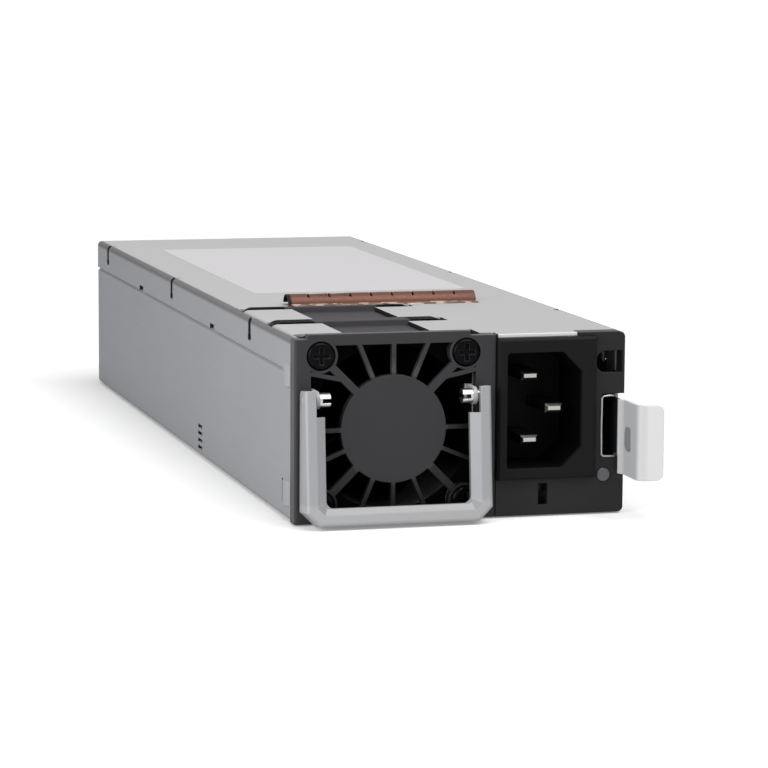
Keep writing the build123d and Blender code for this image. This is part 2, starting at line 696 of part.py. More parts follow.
# Mains inlet: moulded socket with a flange in front of the panel
mouth_left = MOUTH_X - INLET_MOUTH_W / 2
mouth_right = MOUTH_X + INLET_MOUTH_W / 2
mouth_bottom = MOUTH_Z - INLET_MOUTH_H / 2
mouth_top = MOUTH_Z + INLET_MOUTH_H / 2
pin_places = {
    "line_pin": (MOUTH_X - PIN_EARTH_SHIFT / 2 + 0.6, MOUTH_Z + PIN_PITCH / 2, PIN_SETBACK, 6.0),
    "neutral_pin": (MOUTH_X - PIN_EARTH_SHIFT / 2 + 0.6, MOUTH_Z - PIN_PITCH / 2, PIN_SETBACK, 3.0),
    "earth_pin": (MOUTH_X + PIN_EARTH_SHIFT / 2 + 0.6, MOUTH_Z, PIN_SETBACK - 1.6, 9.0),
}
with BuildPart() as inlet_body:
    block(
        (INLET_X - INLET_FLANGE_W / 2, INLET_X + INLET_FLANGE_W / 2),
        (FRONT - INLET_FLANGE_T, FRONT),
        (INLET_FLANGE_BOTTOM, INLET_FLANGE_BOTTOM + INLET_FLANGE_H),
    )
    chamfer(inlet_body.edges().group_by(Axis.Y)[0], 0.5)
    block(
        (mouth_left - INLET_WALL, mouth_right + INLET_WALL),
        (FRONT, FRONT + INLET_DEPTH),
        (mouth_bottom - INLET_WALL, mouth_top + INLET_WALL),
    )
    with BuildSketch(facing_front(FRONT - INLET_FLANGE_T)):
        with BuildLine():
            FilletPolyline(
                (mouth_left, mouth_bottom),
                (mouth_right - INLET_CHAMFER, mouth_bottom),
                (mouth_right, mouth_bottom + INLET_CHAMFER),
                (mouth_right, mouth_top - INLET_CHAMFER),
                (mouth_right - INLET_CHAMFER, mouth_top),
                (mouth_left, mouth_top),
                radius=0.8,
                close=True,
            )
        make_face()
    extrude(amount=-INLET_MOUTH_DEPTH, mode=Mode.SUBTRACT)
    for pin_x, pin_z, setback, tail in pin_places.values():
        block(
            (pin_x - PIN_W / 2 - PIN_FIT, pin_x + PIN_W / 2 + PIN_FIT),
            (FRONT, FRONT + INLET_DEPTH + 1),
            (pin_z - PIN_T / 2 - PIN_FIT, pin_z + PIN_T / 2 + PIN_FIT),
            Mode.SUBTRACT,
        )
    # snap wedges that hold the panel
    for side in (-1, 1):
        edge_z = MOUTH_Z + side * (INLET_MOUTH_H / 2 + INLET_WALL)
        with BuildSketch(Plane.YZ.offset(MOUTH_X - 4)):
            with BuildLine():
                Polyline(
                    (FRONT + PANEL_PLATE + 0.2, edge_z - side * 0.3),
                    (FRONT + PANEL_PLATE + 0.2, edge_z + side * 0.7),
                    (FRONT + PANEL_PLATE + 5, edge_z - side * 0.3),
                    close=True,
                )
            make_face()
        extrude(amount=8)
write(inlet_body.part, "inlet_body")

# The three flat pins, each with a tail bent down to the board
for pin_name, (pin_x, pin_z, setback, tail) in pin_places.items():
    with BuildPart() as pin:
        tail_y = FRONT + INLET_DEPTH + tail
        block(
            (pin_x - PIN_W / 2, pin_x + PIN_W / 2),
            (FRONT + setback, tail_y),
            (pin_z - PIN_T / 2, pin_z + PIN_T / 2),
        )
        chamfer(pin.edges().group_by(Axis.Y)[0], 0.6)
        block(
            (pin_x - PIN_W / 2, pin_x + PIN_W / 2),
            (tail_y - TAIL_T, tail_y),
            (BOARD_TOP, pin_z + PIN_T / 2),
        )
    write(pin.part, pin_name)

# Handle bracket: steel frame and U around the fan, two ears through the grille and a foot on the floor
ear_out = min(HANDLE_W / 2 - EAR_INSET, GRILLE_OPEN / 2 - EAR_GAP)
ear_in = ear_out - BRACKET_SHEET
flange_left = LEFT + SHEET + SEAM_GAP
flange_right = FAN_RIGHT + SEAM_GAP
with BuildPart() as handle_bracket:
    with BuildSketch(facing_front(FAN_FRONT)):
        with Locations((FAN_X, FAN_Z)):
            Rectangle(FAN_SIZE - 0.8, FAN_SIZE - 0.8)
            RectangleRounded(GRILLE_OPEN, GRILLE_OPEN, 2.0, mode=Mode.SUBTRACT)
        with Locations(*FAN_HOLES):
            Circle(BOSS_R - 0.2)
    extrude(amount=BRACKET_SHEET)
    block((flange_left, FAN_LEFT + GRILLE_RIM), (FAN_FRONT - BRACKET_SHEET, FAN_FRONT), (10.5, 27.5))
    block(
        (FAN_RIGHT - GRILLE_RIM, flange_right + BRACKET_SHEET),
        (FAN_FRONT - BRACKET_SHEET, FAN_FRONT),
        (5, 30),
    )
    block(
        (flange_left, flange_left + BRACKET_SHEET),
        (FAN_FRONT - BRACKET_SHEET, FAN_FRONT + BRACKET_FLANGE_L),
        (10.5, 27.5),
    )
    block(
        (flange_right, flange_right + BRACKET_SHEET),
        (FAN_FRONT - BRACKET_SHEET, FAN_FRONT + BRACKET_FLANGE_L),
        (SHEET, 30),
    )
    block(
        (flange_right, flange_right + 9),
        (FRONT + 8, FAN_FRONT + BRACKET_FLANGE_L),
        (SHEET, SHEET + BRACKET_SHEET),
    )
    for side in (-1, 1):
        ear = sorted((HANDLE_X + side * ear_out, HANDLE_X + side * ear_in))
        root = sorted((HANDLE_X + side * (ear_in - 0.2), FAN_X + side * (FAN_SIZE / 2 - 0.6)))
        block(root, (FAN_FRONT - BRACKET_SHEET, FAN_FRONT), (PIVOT_Z - EAR_R, PIVOT_Z + EAR_R))
        block(ear, (PIVOT_Y, FAN_FRONT), (PIVOT_Z - EAR_R, PIVOT_Z + EAR_R))
        rod_x(EAR_R, ear, PIVOT_Y, PIVOT_Z)
        rod_x(PIVOT_R, (ear[0] - 1, ear[1] + 1), PIVOT_Y, PIVOT_Z, Mode.SUBTRACT)
    for hole_x, hole_z in FAN_HOLES:
        rod_y(SCREW_R + SCREW_CLEAR, hole_x, (FRONT, FAN_FRONT + 1), hole_z, Mode.SUBTRACT)
    rod_z(SCREW_R, FAN_RIGHT + 5.0, FRONT + 14, (0, 4), Mode.SUBTRACT)
write(handle_bracket.part, "handle_bracket")

# The screw through the bracket's foot and the floor
with BuildPart() as bracket_screw:
    rod_z(SCREW_R, FAN_RIGHT + 5.0, FRONT + 14, (0.1, SHEET + BRACKET_SHEET + 0.1))
    rod_z(
        SCREW_HEAD_R,
        FAN_RIGHT + 5.0,
        FRONT + 14,
        (SHEET + BRACKET_SHEET, SHEET + BRACKET_SHEET + 1.6),
    )
write(bracket_screw.part, "bracket_screw")

# Handle: steel strip with a bent flange and a dished inner edge, mitred round a U, leaning out at its foot
lean_up = Vector(0, sin(radians(HANDLE_LEAN)), cos(radians(HANDLE_LEAN)))
lean_out = Vector(0, -cos(radians(HANDLE_LEAN)), sin(radians(HANDLE_LEAN)))
handle_plane = Plane(origin=(HANDLE_X, PIVOT_Y, PIVOT_Z), x_dir=(1, 0, 0), z_dir=lean_out)
inner_half = HANDLE_W / 2 - HANDLE_FACE
bar_drop = (PIVOT_Z - HANDLE_FLOOR) / cos(radians(HANDLE_LEAN)) - HANDLE_FACE
leg_start = handle_plane.from_local_coords((-inner_half, LEG_TOP, 0))
leg_section_plane = Plane(origin=leg_start, x_dir=(-1, 0, 0), z_dir=lean_up * -1)
crease = HANDLE_FACE - LEG_STRIP
dish_angle = atan2(HANDLE_DISH, crease)
with BuildPart() as handle:
    with BuildLine(handle_plane) as handle_path:
        Polyline(
            (-inner_half, LEG_TOP),
            (-inner_half, HANDLE_CORNER - bar_drop),
            (HANDLE_CORNER - inner_half, -bar_drop),
            (inner_half - HANDLE_CORNER, -bar_drop),
            (inner_half, HANDLE_CORNER - bar_drop),
            (inner_half, LEG_TOP),
        )
    with BuildSketch(leg_section_plane) as leg_section:
        with BuildLine():
            Polyline(
                (0, HANDLE_DISH - LEG_FRONT),
                (crease, -LEG_FRONT),
                (HANDLE_FACE, -LEG_FRONT),
                (HANDLE_FACE, 6),
                (HANDLE_FACE - HANDLE_T, 6),
                (HANDLE_FACE - HANDLE_T, HANDLE_T - LEG_FRONT),
                (crease + HANDLE_T * tan(dish_angle / 2), HANDLE_T - LEG_FRONT),
                (0, HANDLE_DISH + HANDLE_T / cos(dish_angle) - LEG_FRONT),
                close=True,
            )
        make_face()
        fillet(leg_section.vertices().group_by(Axis.Y)[0].sort_by(Axis.X)[-1], HANDLE_BEND_R)
    sweep(path=handle_path.line, transition=Transition.RIGHT)
    # the back is trimmed level with the bezel, the bar to its own width
    block(
        (LEFT - 5, RIGHT + 5),
        (FRONT - HANDLE_GAP, FRONT + 20),
        (-10, CASE_H + 10),
        Mode.SUBTRACT,
    )
    # the legs' top corners are rounded so that they pass the bezel as the handle is lifted
    fillet(
        handle.edges().filter_by(Axis.X).group_by(Axis.Y)[-1].group_by(Axis.Z)[-1],
        0.97 * (PIVOT_OUT - HANDLE_GAP),
    )
    with BuildSketch(handle_plane):
        with Locations((0, -bar_drop)):
            RectangleRounded(2 * inner_half, 2 * (HANDLE_FACE - HANDLE_BAR), HANDLE_INNER_R)
        # the face is cut back beside the pivots
        for side in (-1, 1):
            with Locations((side * (inner_half + crease / 2 - 1), (LEG_TOP + 1 - LEG_NOTCH) / 2)):
                Rectangle(crease + 2, LEG_TOP + 1 + LEG_NOTCH)
    extrude(amount=6, both=True, mode=Mode.SUBTRACT)
    rod_x(
        PIVOT_R + PIVOT_FIT,
        (HANDLE_X - HANDLE_W / 2 - 1, HANDLE_X + HANDLE_W / 2 + 1),
        PIVOT_Y,
        PIVOT_Z,
        Mode.SUBTRACT,
    )
write(handle.part, "handle")

# The two pivot studs: slotted head inside, collar, and a spigot that ends level with the handle's side
with BuildPart() as handle_pivots:
    for side in (-1, 1):
        half = HANDLE_W / 2
        for radius, start, end in (
            (PIVOT_R, ear_in - 0.5, half),
            (PIVOT_R + 0.3, ear_out, half - HANDLE_T - 0.15),
            (STUD_HEAD_R, ear_in - STUD_HEAD_L, ear_in),
        ):
            rod_x(radius, sorted((HANDLE_X + side * start, HANDLE_X + side * end)), PIVOT_Y, PIVOT_Z)
        block(
            sorted((HANDLE_X + side * (ear_in - STUD_HEAD_L - 1), HANDLE_X + side * (ear_in - 0.6))),
            (PIVOT_Y - 3, PIVOT_Y + 3),
            (PIVOT_Z - STUD_SLOT / 2, PIVOT_Z + STUD_SLOT / 2),
            Mode.SUBTRACT,
        )
write(handle_pivots.part, "handle_pivots")

# Latch: spring steel leaf with a folded tooth, bent into a thumb tab in front
tooth_bottom = LATCH_NECK_BOTTOM + TOOTH_INSET
tooth_top = LATCH_TOP - TOOTH_INSET
with BuildPart() as latch_leaf:
    block((LATCH_X, LATCH_X + LATCH_T), (FRONT - 1.2, LATCH_REAR), (LATCH_NECK_BOTTOM, LATCH_TOP))
    fillet(
        latch_leaf.edges().filter_by(Axis.Z).group_by(Axis.Y)[-1],
        LATCH_T / 2 - 0.01,
    )
    with BuildSketch(Plane.XY.offset(LATCH_BOTTOM)):
        with BuildLine():
            FilletPolyline(
                (LATCH_X, FRONT - 1),
                (LATCH_X + LATCH_JOG, FRONT - 1 - 2 * LATCH_JOG),
                (LATCH_X + LATCH_JOG, FRONT - LATCH_REACH),
                (RIGHT + LATCH_THUMB, FRONT - LATCH_REACH),
                radius=LATCH_BEND_R,
            )
            offset(amount=LATCH_T, side=Side.LEFT)
        make_face()
    extrude(amount=LATCH_TOP - LATCH_BOTTOM)
    fillet(
        latch_leaf.edges().filter_by(Axis.Y).group_by(Axis.X)[-1],
        1.5,
    )
    with BuildSketch(Plane.YZ.offset(LATCH_X - 1)):
        with Locations((FRONT - LATCH_REACH / 2, (LATCH_BOTTOM + LATCH_TOP) / 2)):
            SlotOverall(5.2, 2.0, rotation=90)
    extrude(amount=LATCH_T + 2, mode=Mode.SUBTRACT)
    with BuildSketch(Plane.XY.offset(tooth_bottom)):
        with BuildLine():
            Polyline(
                (LATCH_X + LATCH_T / 2, FRONT + TOOTH_FRONT),
                (RIGHT + TOOTH_OUT, FRONT + TOOTH_FRONT + 1.2),
                (LATCH_X + LATCH_T / 2, FRONT + TOOTH_FRONT + TOOTH_LENGTH),
                close=True,
            )
        make_face()
        offset(amount=-LATCH_T * 0.75, mode=Mode.SUBTRACT)
    extrude(amount=tooth_top - tooth_bottom)
    for rivet_z in (LATCH_NECK_BOTTOM + 3, LATCH_TOP - 3):
        rod_x(SCREW_R + 0.3, (LATCH_X - 1, RIGHT), LATCH_REAR - 4, rivet_z, Mode.SUBTRACT)
write(latch_leaf.part, "latch_leaf")

# Two rivets at the leaf's rear end
with BuildPart() as latch_rivets:
    for rivet_z in (LATCH_NECK_BOTTOM + 3, LATCH_TOP - 3):
        rod_x(SCREW_R, (LATCH_X - 0.9, RIGHT), LATCH_REAR - 4, rivet_z)
        rod_x(SCREW_R + 1.2, (LATCH_X - 0.9, LATCH_X - 0.3), LATCH_REAR - 4, rivet_z)
write(latch_rivets.part, "latch_rivets")


def fan_frame(y_open, y_struts):
    """One moulded fan half: square flanges, round duct, and the motor carrier at y_struts."""
    inward = 1 if y_open > y_struts else -1
    y_low = min(y_open, y_struts)
    y_high = max(y_open, y_struts)
    with BuildPart() as frame:
        for flange_y in (y_low + FAN_FLANGE, y_high):
            with BuildSketch(facing_front(flange_y)) as flange:
                with Locations((FAN_X, FAN_Z)):
                    RectangleRounded(FAN_SIZE, FAN_SIZE, FAN_CORNER_R)
            extrude(flange.sketch, amount=FAN_FLANGE)
        rod_y(FAN_BORE_R + FAN_WALL, FAN_X, (y_low, y_high), FAN_Z)
        # flat saddle on top of the duct, just under the tabs and the lid
        block(
            (FAN_X - FAN_SADDLE_W / 2, FAN_X + FAN_SADDLE_W / 2),
            (y_low, y_high),
            (FAN_Z + FAN_BORE_R / 2, CASE_H - SHEET - 2 * SEAM_GAP),
        )
        rod_y(FAN_BORE_R, FAN_X, (y_low - 1, y_high + 1), FAN_Z, Mode.SUBTRACT)
        for hole_x, hole_z in FAN_HOLES:
            rod_y(SCREW_R, hole_x, (y_low - 1, y_high + 1), hole_z, Mode.SUBTRACT)
        carrier = sorted((y_struts, y_struts + inward * STRUT_T))
        with BuildSketch(facing_front(carrier[1])) as struts:
            with Locations((FAN_X, FAN_Z)):
                Circle(HUB_R)
            for angle in (20, 110, 200, 290):
                middle = (HUB_R + FAN_BORE_R) / 2
                with Locations((FAN_X + middle * cos(radians(angle)), FAN_Z + middle * sin(radians(angle)))):
                    Rectangle(FAN_BORE_R - HUB_R + 1.0, 1.8, rotation=angle)
        extrude(struts.sketch, amount=STRUT_T)
        tube = sorted((y_struts, y_struts + inward * BEARING_TUBE_L))
        rod_y(BEARING_R + BEARING_TUBE_WALL, FAN_X, tube, FAN_Z)
        bore = sorted((y_struts + inward * 1.0, y_struts + inward * (BEARING_TUBE_L + 1)))
        rod_y(BEARING_R, FAN_X, bore, FAN_Z, Mode.SUBTRACT)
    return frame.part


def fan_impeller(y_struts, inward, blades, pitch):
    """Cup shaped hub with twisted blades, open towards the motor carrier."""
    y_cup = y_struts + inward * (STRUT_T + STATOR_GAP)
    y_face = y_cup + inward * HUB_LENGTH
    y_mid = (y_cup + y_face) / 2
    with BuildPart() as impeller:
        rod_y(HUB_R, FAN_X, sorted((y_cup, y_face)), FAN_Z)
        for i in range(blades):
            angle = radians(360 / blades * i + 8)
            spoke = Vector(cos(angle), 0, sin(angle))
            sections = []
            for radius, chord, lean in ((HUB_R - 0.3, 19.0, pitch), (IMPELLER_R + 1.5, 20.0, pitch * 1.5)):
                place = Plane(
                    origin=Vector(FAN_X, y_mid, FAN_Z) + spoke * radius,
                    x_dir=(0, 1, 0),
                    z_dir=spoke,
                )
                with BuildSketch(place) as section:
                    Rectangle(chord, 0.9, rotation=lean)
                sections.append(section.sketch)
            loft(sections)
        rod_y(IMPELLER_R, FAN_X, sorted((y_cup, y_face)), FAN_Z, Mode.INTERSECT)
        rod_y(HUB_R - HUB_WALL, FAN_X, sorted((y_cup - inward, y_face - inward * 1.2)), FAN_Z, Mode.SUBTRACT)
        rod_y(SHAFT_R, FAN_X, sorted((y_cup, y_face + inward)), FAN_Z, Mode.SUBTRACT)
    return impeller.part


def fan_shaft(y_struts, inward):
    """Steel spindle fixed in the hub's face and running in the two bearings."""
    y_face = y_struts + inward * (STRUT_T + STATOR_GAP + HUB_LENGTH)
    with BuildPart() as shaft:
        rod_y(SHAFT_R, FAN_X, sorted((y_struts + inward * 1.4, y_face)), FAN_Z)
    return shaft.part


def fan_stator(y_struts, inward):
    """Four pole motor core with its coils on the bearing tube."""
    outer = HUB_R - HUB_WALL - MAGNET_T - STATOR_GAP
    core = sorted((y_struts + inward * 4.2, y_struts + inward * (4.2 + STATOR_L)))
    with BuildPart() as stator:
        rod_y(outer, FAN_X, core, FAN_Z)
        for angle in (0, 90):
            with Locations((FAN_X, (core[0] + core[1]) / 2, FAN_Z)):
                Box(2 * outer + 2, STATOR_L + 1, 1.2, rotation=(0, angle, 0), mode=Mode.SUBTRACT)
        rod_y(outer - 1.4, FAN_X, (core[0] + 0.8, core[1] - 0.8), FAN_Z)
        rod_y(
            BEARING_R + BEARING_TUBE_WALL,
            FAN_X,
            (core[0] - 1, core[1] + 1),
            FAN_Z,
            Mode.SUBTRACT,
        )
    return stator.part


def fan_magnet(y_struts, inward):
    """Magnet ring glued inside the hub's cup."""
    outer = HUB_R - HUB_WALL
    ring = sorted((y_struts + inward * 3.6, y_struts + inward * (4.8 + STATOR_L)))
    with BuildPart() as magnet:
        rod_y(outer, FAN_X, ring, FAN_Z)
        rod_y(outer - MAGNET_T, FAN_X, (ring[0] - 1, ring[1] + 1), FAN_Z, Mode.SUBTRACT)
    return magnet.part


# The two fan halves stand motor to motor; their impellers turn opposite ways
for half_name, open_y, into, blade_count, blade_pitch in (
    ("front", FAN_FRONT, -1, 5, 30),
    ("rear", FAN_REAR, 1, 7, -26),
):
    write(fan_frame(open_y, FAN_JOINT), f"fan_{half_name}_frame")
    write(fan_impeller(FAN_JOINT, into, blade_count, blade_pitch), f"fan_{half_name}_impeller")
    write(fan_shaft(FAN_JOINT, into), f"fan_{half_name}_shaft")
    write(fan_stator(FAN_JOINT, into), f"fan_{half_name}_stator")
    write(fan_magnet(FAN_JOINT, into), f"fan_{half_name}_magnet")

# Four bearing rings, two in each carrier's tube
with BuildPart() as fan_bearings:
    for into in (-1, 1):
        for start in (1.6, BEARING_TUBE_L - BEARING_L - 0.4):
            ring = sorted((FAN_JOINT + into * start, FAN_JOINT + into * (start + BEARING_L)))
            rod_y(BEARING_R, FAN_X, ring, FAN_Z)
    rod_y(SHAFT_R + RUNNING_FIT, FAN_X, (FAN_FRONT, FAN_REAR), FAN_Z, Mode.SUBTRACT)
write(fan_bearings.part, "fan_bearings")

# A round motor board on each carrier
with BuildPart() as fan_motor_boards:
    for into in (-1, 1):
        disc = sorted((FAN_JOINT + into * STRUT_T, FAN_JOINT + into * (STRUT_T + 1.0)))
        rod_y(HUB_R - HUB_WALL - MAGNET_T - 0.6, FAN_X, disc, FAN_Z)
    rod_y(BEARING_R + BEARING_TUBE_WALL, FAN_X, (FAN_FRONT, FAN_REAR), FAN_Z, Mode.SUBTRACT)
write(fan_motor_boards.part, "fan_motor_boards")

# Insulating sheet on the floor behind the fan
with BuildPart() as insulator_sheet:
    block(
        (LEFT + BOARD_EDGE, RIGHT - BOARD_EDGE),
        (FILTER_Y, REAR - 3),
        (SHEET, SHEET + INSULATOR_T),
    )
    for post_x, post_y in STANDOFFS:
        rod_z(3.2, post_x, post_y, (0, 2), Mode.SUBTRACT)
write(insulator_sheet.part, "insulator_sheet")

# Threaded posts pressed into the floor
with BuildPart() as board_posts:
    for post_x, post_y in STANDOFFS:
        rod_z(2.6, post_x, post_y, (SHEET, BOARD_Z))
        rod_z(SCREW_R, post_x, post_y, (SHEET + 0.6, BOARD_Z + 1), Mode.SUBTRACT)
write(board_posts.part, "board_posts")

# Main board: one sheet with a lobe behind the inlet and a tongue out of the rear
with BuildPart() as main_board:
    block((LEFT + BOARD_EDGE, RIGHT - BOARD_EDGE), (FILTER_Y, REAR - 3), (BOARD_Z, BOARD_TOP))
    block(
        (PANEL_X, RIGHT - BOARD_EDGE),
        (BOARD_FRONT, FILTER_Y + 1),
        (BOARD_Z, BOARD_TOP),
    )
    block((-TONGUE_W / 2, TONGUE_W / 2), (REAR - 4, REAR + TONGUE_L), (BOARD_Z, BOARD_TOP))
    for post_x, post_y in STANDOFFS:
        rod_z(SCREW_R + SCREW_CLEAR, post_x, post_y, (BOARD_Z - 1, BOARD_TOP + 1), Mode.SUBTRACT)
write(main_board.part, "main_board")

with BuildPart() as board_screws:
    for post_x, post_y in STANDOFFS:
        rod_z(SCREW_R, post_x, post_y, (SHEET + 1.4, BOARD_TOP + 0.1))
        rod_z(SCREW_HEAD_R, post_x, post_y, (BOARD_TOP, BOARD_TOP + SCREW_HEAD_H))
write(board_screws.part, "board_screws")

# Plated contacts on both faces of the tongue
with BuildPart() as edge_contacts:
    for i in range(CONTACT_COUNT):
        contact_x = -TONGUE_W / 2 + (i + 0.5) * TONGUE_W / CONTACT_COUNT
        for face in ((BOARD_Z - CONTACT_T, BOARD_Z), (BOARD_TOP, BOARD_TOP + CONTACT_T)):
            block(
                (contact_x - CONTACT_W / 2, contact_x + CONTACT_W / 2),
                (REAR + 1, REAR + TONGUE_L - 0.8),
                face,
            )
write(edge_contacts.part, "edge_contacts")


def choke(x, y, core_r, hole_r, height, wire):
    """Ring core standing flat, and the two windings wrapped round it."""
    z0 = BOARD_TOP + wire
    with BuildPart() as core:
        rod_z(core_r, x, y, (z0, z0 + height))
        rod_z(hole_r, x, y, (z0 - 1, z0 + height + 1), Mode.SUBTRACT)
    with BuildPart() as winding:
        rod_z(core_r + wire, x, y, (z0 - wire, z0 + height + wire))
        rod_z(hole_r - wire, x, y, (z0 - 2 * wire, z0 + height + 2 * wire), Mode.SUBTRACT)
        rod_z(core_r, x, y, (z0, z0 + height), Mode.SUBTRACT)
        rod_z(hole_r, x, y, (z0, z0 + height))
        rod_z(hole_r - wire, x, y, (z0 - 2 * wire, z0 + height + 2 * wire), Mode.SUBTRACT)
        block(
            (x - core_r - 2 * wire, x + core_r + 2 * wire),
            (y - 2, y + 2),
            (z0 - 2 * wire, z0 + height + 2 * wire),
            Mode.SUBTRACT,
        )
    return core.part, winding.part


# The line filter, from the inlet backwards
with BuildPart() as line_fuse:
    rod_x(2.4, (RIGHT - 27, RIGHT - 9), FRONT + 37, BOARD_TOP + 2.6)
    for cap in ((RIGHT - 28, RIGHT - 23), (RIGHT - 13, RIGHT - 8)):
        rod_x(2.6, cap, FRONT + 37, BOARD_TOP + 2.6)
write(line_fuse.part, "line_fuse")

with BuildPart() as surge_disc:
    rod_y(6.5, RIGHT - 18, (FRONT + 40.5, FRONT + 44), BOARD_TOP + 6.5)
write(surge_disc.part, "surge_disc")

core_part, winding_part = choke(RIGHT - 18, FILTER_Y - 5.5, 9.5, 5.0, 9.0, 1.0)
write(core_part, "line_choke_core")
write(winding_part, "line_choke_windings")
filter_x = LEFT + FILTER_LEFT + FILTER_CHOKE_R + FILTER_WIRE
core_part, winding_part = choke(filter_x, FILTER_Y + 15, FILTER_CHOKE_R, 5.5, 10.0, FILTER_WIRE)
write(core_part, "filter_choke_core")
write(winding_part, "filter_choke_windings")

with BuildPart() as x_capacitor:
    block((RIGHT - 31, RIGHT - 5), (FILTER_Y + 8, FILTER_Y + 18), (BOARD_TOP, BOARD_TOP + 19))
    fillet(x_capacitor.edges().filter_by(Axis.Z), 0.8)
write(x_capacitor.part, "x_capacitor")

with BuildPart() as inrush_relay:
    block((RIGHT - 29, RIGHT - 14), (FILTER_Y + 19.5, FILTER_Y + 29), (BOARD_TOP, BOARD_TOP + 15))
    fillet(inrush_relay.edges().group_by(Axis.Z)[-1], 0.6)
write(inrush_relay.part, "inrush_relay")

plug_x = filter_x + FILTER_CHOKE_R + FILTER_WIRE + ROW_GAP + 4
with BuildPart() as fan_connector:
    block((plug_x - 4, plug_x + 4), (FILTER_Y + 7, FILTER_Y + 13), (BOARD_TOP, BOARD_TOP + 6))
write(fan_connector.part, "fan_connector")

# Fan lead: four wires in one sleeve from the rear fan half to its plug
lead_x = FAN_RIGHT - 5
lead_end = FILTER_Y + 7
with BuildPart() as fan_lead:
    with BuildLine() as lead_path:
        FilletPolyline(
            (lead_x, FAN_REAR, BOARD_TOP + 7),
            (lead_x, FAN_REAR + 3.4, BOARD_TOP + 7),
            (plug_x, lead_end - 3, BOARD_TOP + 3),
            (plug_x, lead_end, BOARD_TOP + 3),
            radius=1.6,
        )
    with BuildSketch(facing_front(FAN_REAR)):
        with Locations((lead_x, BOARD_TOP + 7)):
            Circle(1.2)
    sweep(path=lead_path.line)
write(fan_lead.part, "fan_lead")

# The boost stage
boost_x = LEFT + ROW_LEFT + BOOST_CHOKE_R + BOOST_WIRE
sink_x = boost_x + BOOST_CHOKE_R + BOOST_WIRE + ROW_GAP
bulk_x = RIGHT - ROW_RIGHT - BULK_R
core_part, winding_part = choke(boost_x, BOOST_Y + 17, BOOST_CHOKE_R, 6.0, 13.0, BOOST_WIRE)
write(core_part, "boost_choke_core")
write(winding_part, "boost_choke_windings")

with BuildPart() as bulk_capacitor:
    rod_y(BULK_R, bulk_x, (BOOST_Y + 3, TRANSFORMER_Y - 8), BOARD_TOP + BULK_R)
    fillet(bulk_capacitor.edges().filter_by(GeomType.CIRCLE), 1.2)
write(bulk_capacitor.part, "bulk_capacitor")

with BuildPart() as primary_heatsink:
    sink_rear = TRANSFORMER_Y - 3
    block((sink_x, sink_x + SINK_T), (BOOST_Y + 2, sink_rear), (BOARD_TOP, BOARD_TOP + 27))
    block((sink_x - 20, sink_x + SINK_T), (BOOST_Y + 34, sink_rear), (BOARD_TOP + 25, BOARD_TOP + 27))
    for i in range(4):
        fin_x = sink_x - 20 + 4.5 * i
        block((fin_x, fin_x + 1.2), (BOOST_Y + 34, sink_rear), (BOARD_TOP + 21, BOARD_TOP + 26))
write(primary_heatsink.part, "primary_heatsink")

with BuildPart() as power_transistors:
    for i in range(2):
        die_y = BOOST_Y + 36 + 10 * i
        block((sink_x - 4.5, sink_x), (die_y, die_y + 9), (BOARD_TOP + 4, BOARD_TOP + 18))
        for leg in (1.6, 4.1, 6.6):
            block((sink_x - 3, sink_x - 2.4), (die_y + leg, die_y + leg + 0.9), (BOARD_TOP, BOARD_TOP + 5))
write(power_transistors.part, "power_transistors")

with BuildPart() as bridge_rectifier:
    block((LEFT + 10, LEFT + 28), (BOOST_Y + 45, BOOST_Y + 49), (BOARD_TOP + 3, BOARD_TOP + 17))
    for i in range(4):
        leg_x = LEFT + 12 + 4.2 * i
        block((leg_x, leg_x + 1.2), (BOOST_Y + 46.5, BOOST_Y + 47.3), (BOARD_TOP, BOARD_TOP + 4))
write(bridge_rectifier.part, "bridge_rectifier")

# The transformer stage
core_low = BOARD_TOP + 1.5
core_high = BOARD_TOP + 28
coil_y = (TRANSFORMER_Y + OUTPUT_Y) / 2 - 3
with BuildPart() as transformer_core:
    block((LEFT + 6, LEFT + 40), (coil_y - 12, coil_y + 12), (core_low, core_high))
    block(
        (LEFT + 10, LEFT + 36),
        (coil_y - 13, coil_y + 13),
        (core_low + 5, core_high - 5),
        Mode.SUBTRACT,
    )
    rod_z(6.5, LEFT + 23, coil_y, (core_low + 4, core_high - 4))
write(transformer_core.part, "transformer_core")

with BuildPart() as transformer_windings:
    rod_z(12.4, LEFT + 23, coil_y, (core_low + 6.2, core_high - 6.2))
    rod_z(12.8, LEFT + 23, coil_y, (core_low + 5, core_low + 6.2))
    rod_z(12.8, LEFT + 23, coil_y, (core_high - 6.2, core_high - 5))
    rod_z(6.5, LEFT + 23, coil_y, (core_low, core_high), Mode.SUBTRACT)
    for side in (-1, 1):
        block(
            (LEFT + 16, LEFT + 30),
            sorted((coil_y + side * 12.1, coil_y + side * 14)),
            (BOARD_TOP, core_low + 6.2),
        )
write(transformer_windings.part, "transformer_windings")

with BuildPart() as standby_transformer:
    block((RIGHT - 26, RIGHT - 12), (TRANSFORMER_Y + 8, TRANSFORMER_Y + 24), (BOARD_TOP, BOARD_TOP + 4))
    block((RIGHT - 25, RIGHT - 13), (TRANSFORMER_Y + 9, TRANSFORMER_Y + 23), (BOARD_TOP + 3, BOARD_TOP + 17))
    block((RIGHT - 27, RIGHT - 11), (TRANSFORMER_Y + 13, TRANSFORMER_Y + 19), (BOARD_TOP + 5, BOARD_TOP + 15))
write(standby_transformer.part, "standby_transformer")

with BuildPart() as control_board:
    block((RIGHT - 7, RIGHT - 5.6), (TRANSFORMER_Y + 8, REAR - 16), (BOARD_TOP, BOARD_TOP + 24))
    for i in range(3):
        chip_y = TRANSFORMER_Y + 14 + 16 * i
        block((RIGHT - 8.4, RIGHT - 7), (chip_y, chip_y + 7), (BOARD_TOP + 8, BOARD_TOP + 15))
write(control_board.part, "control_board")

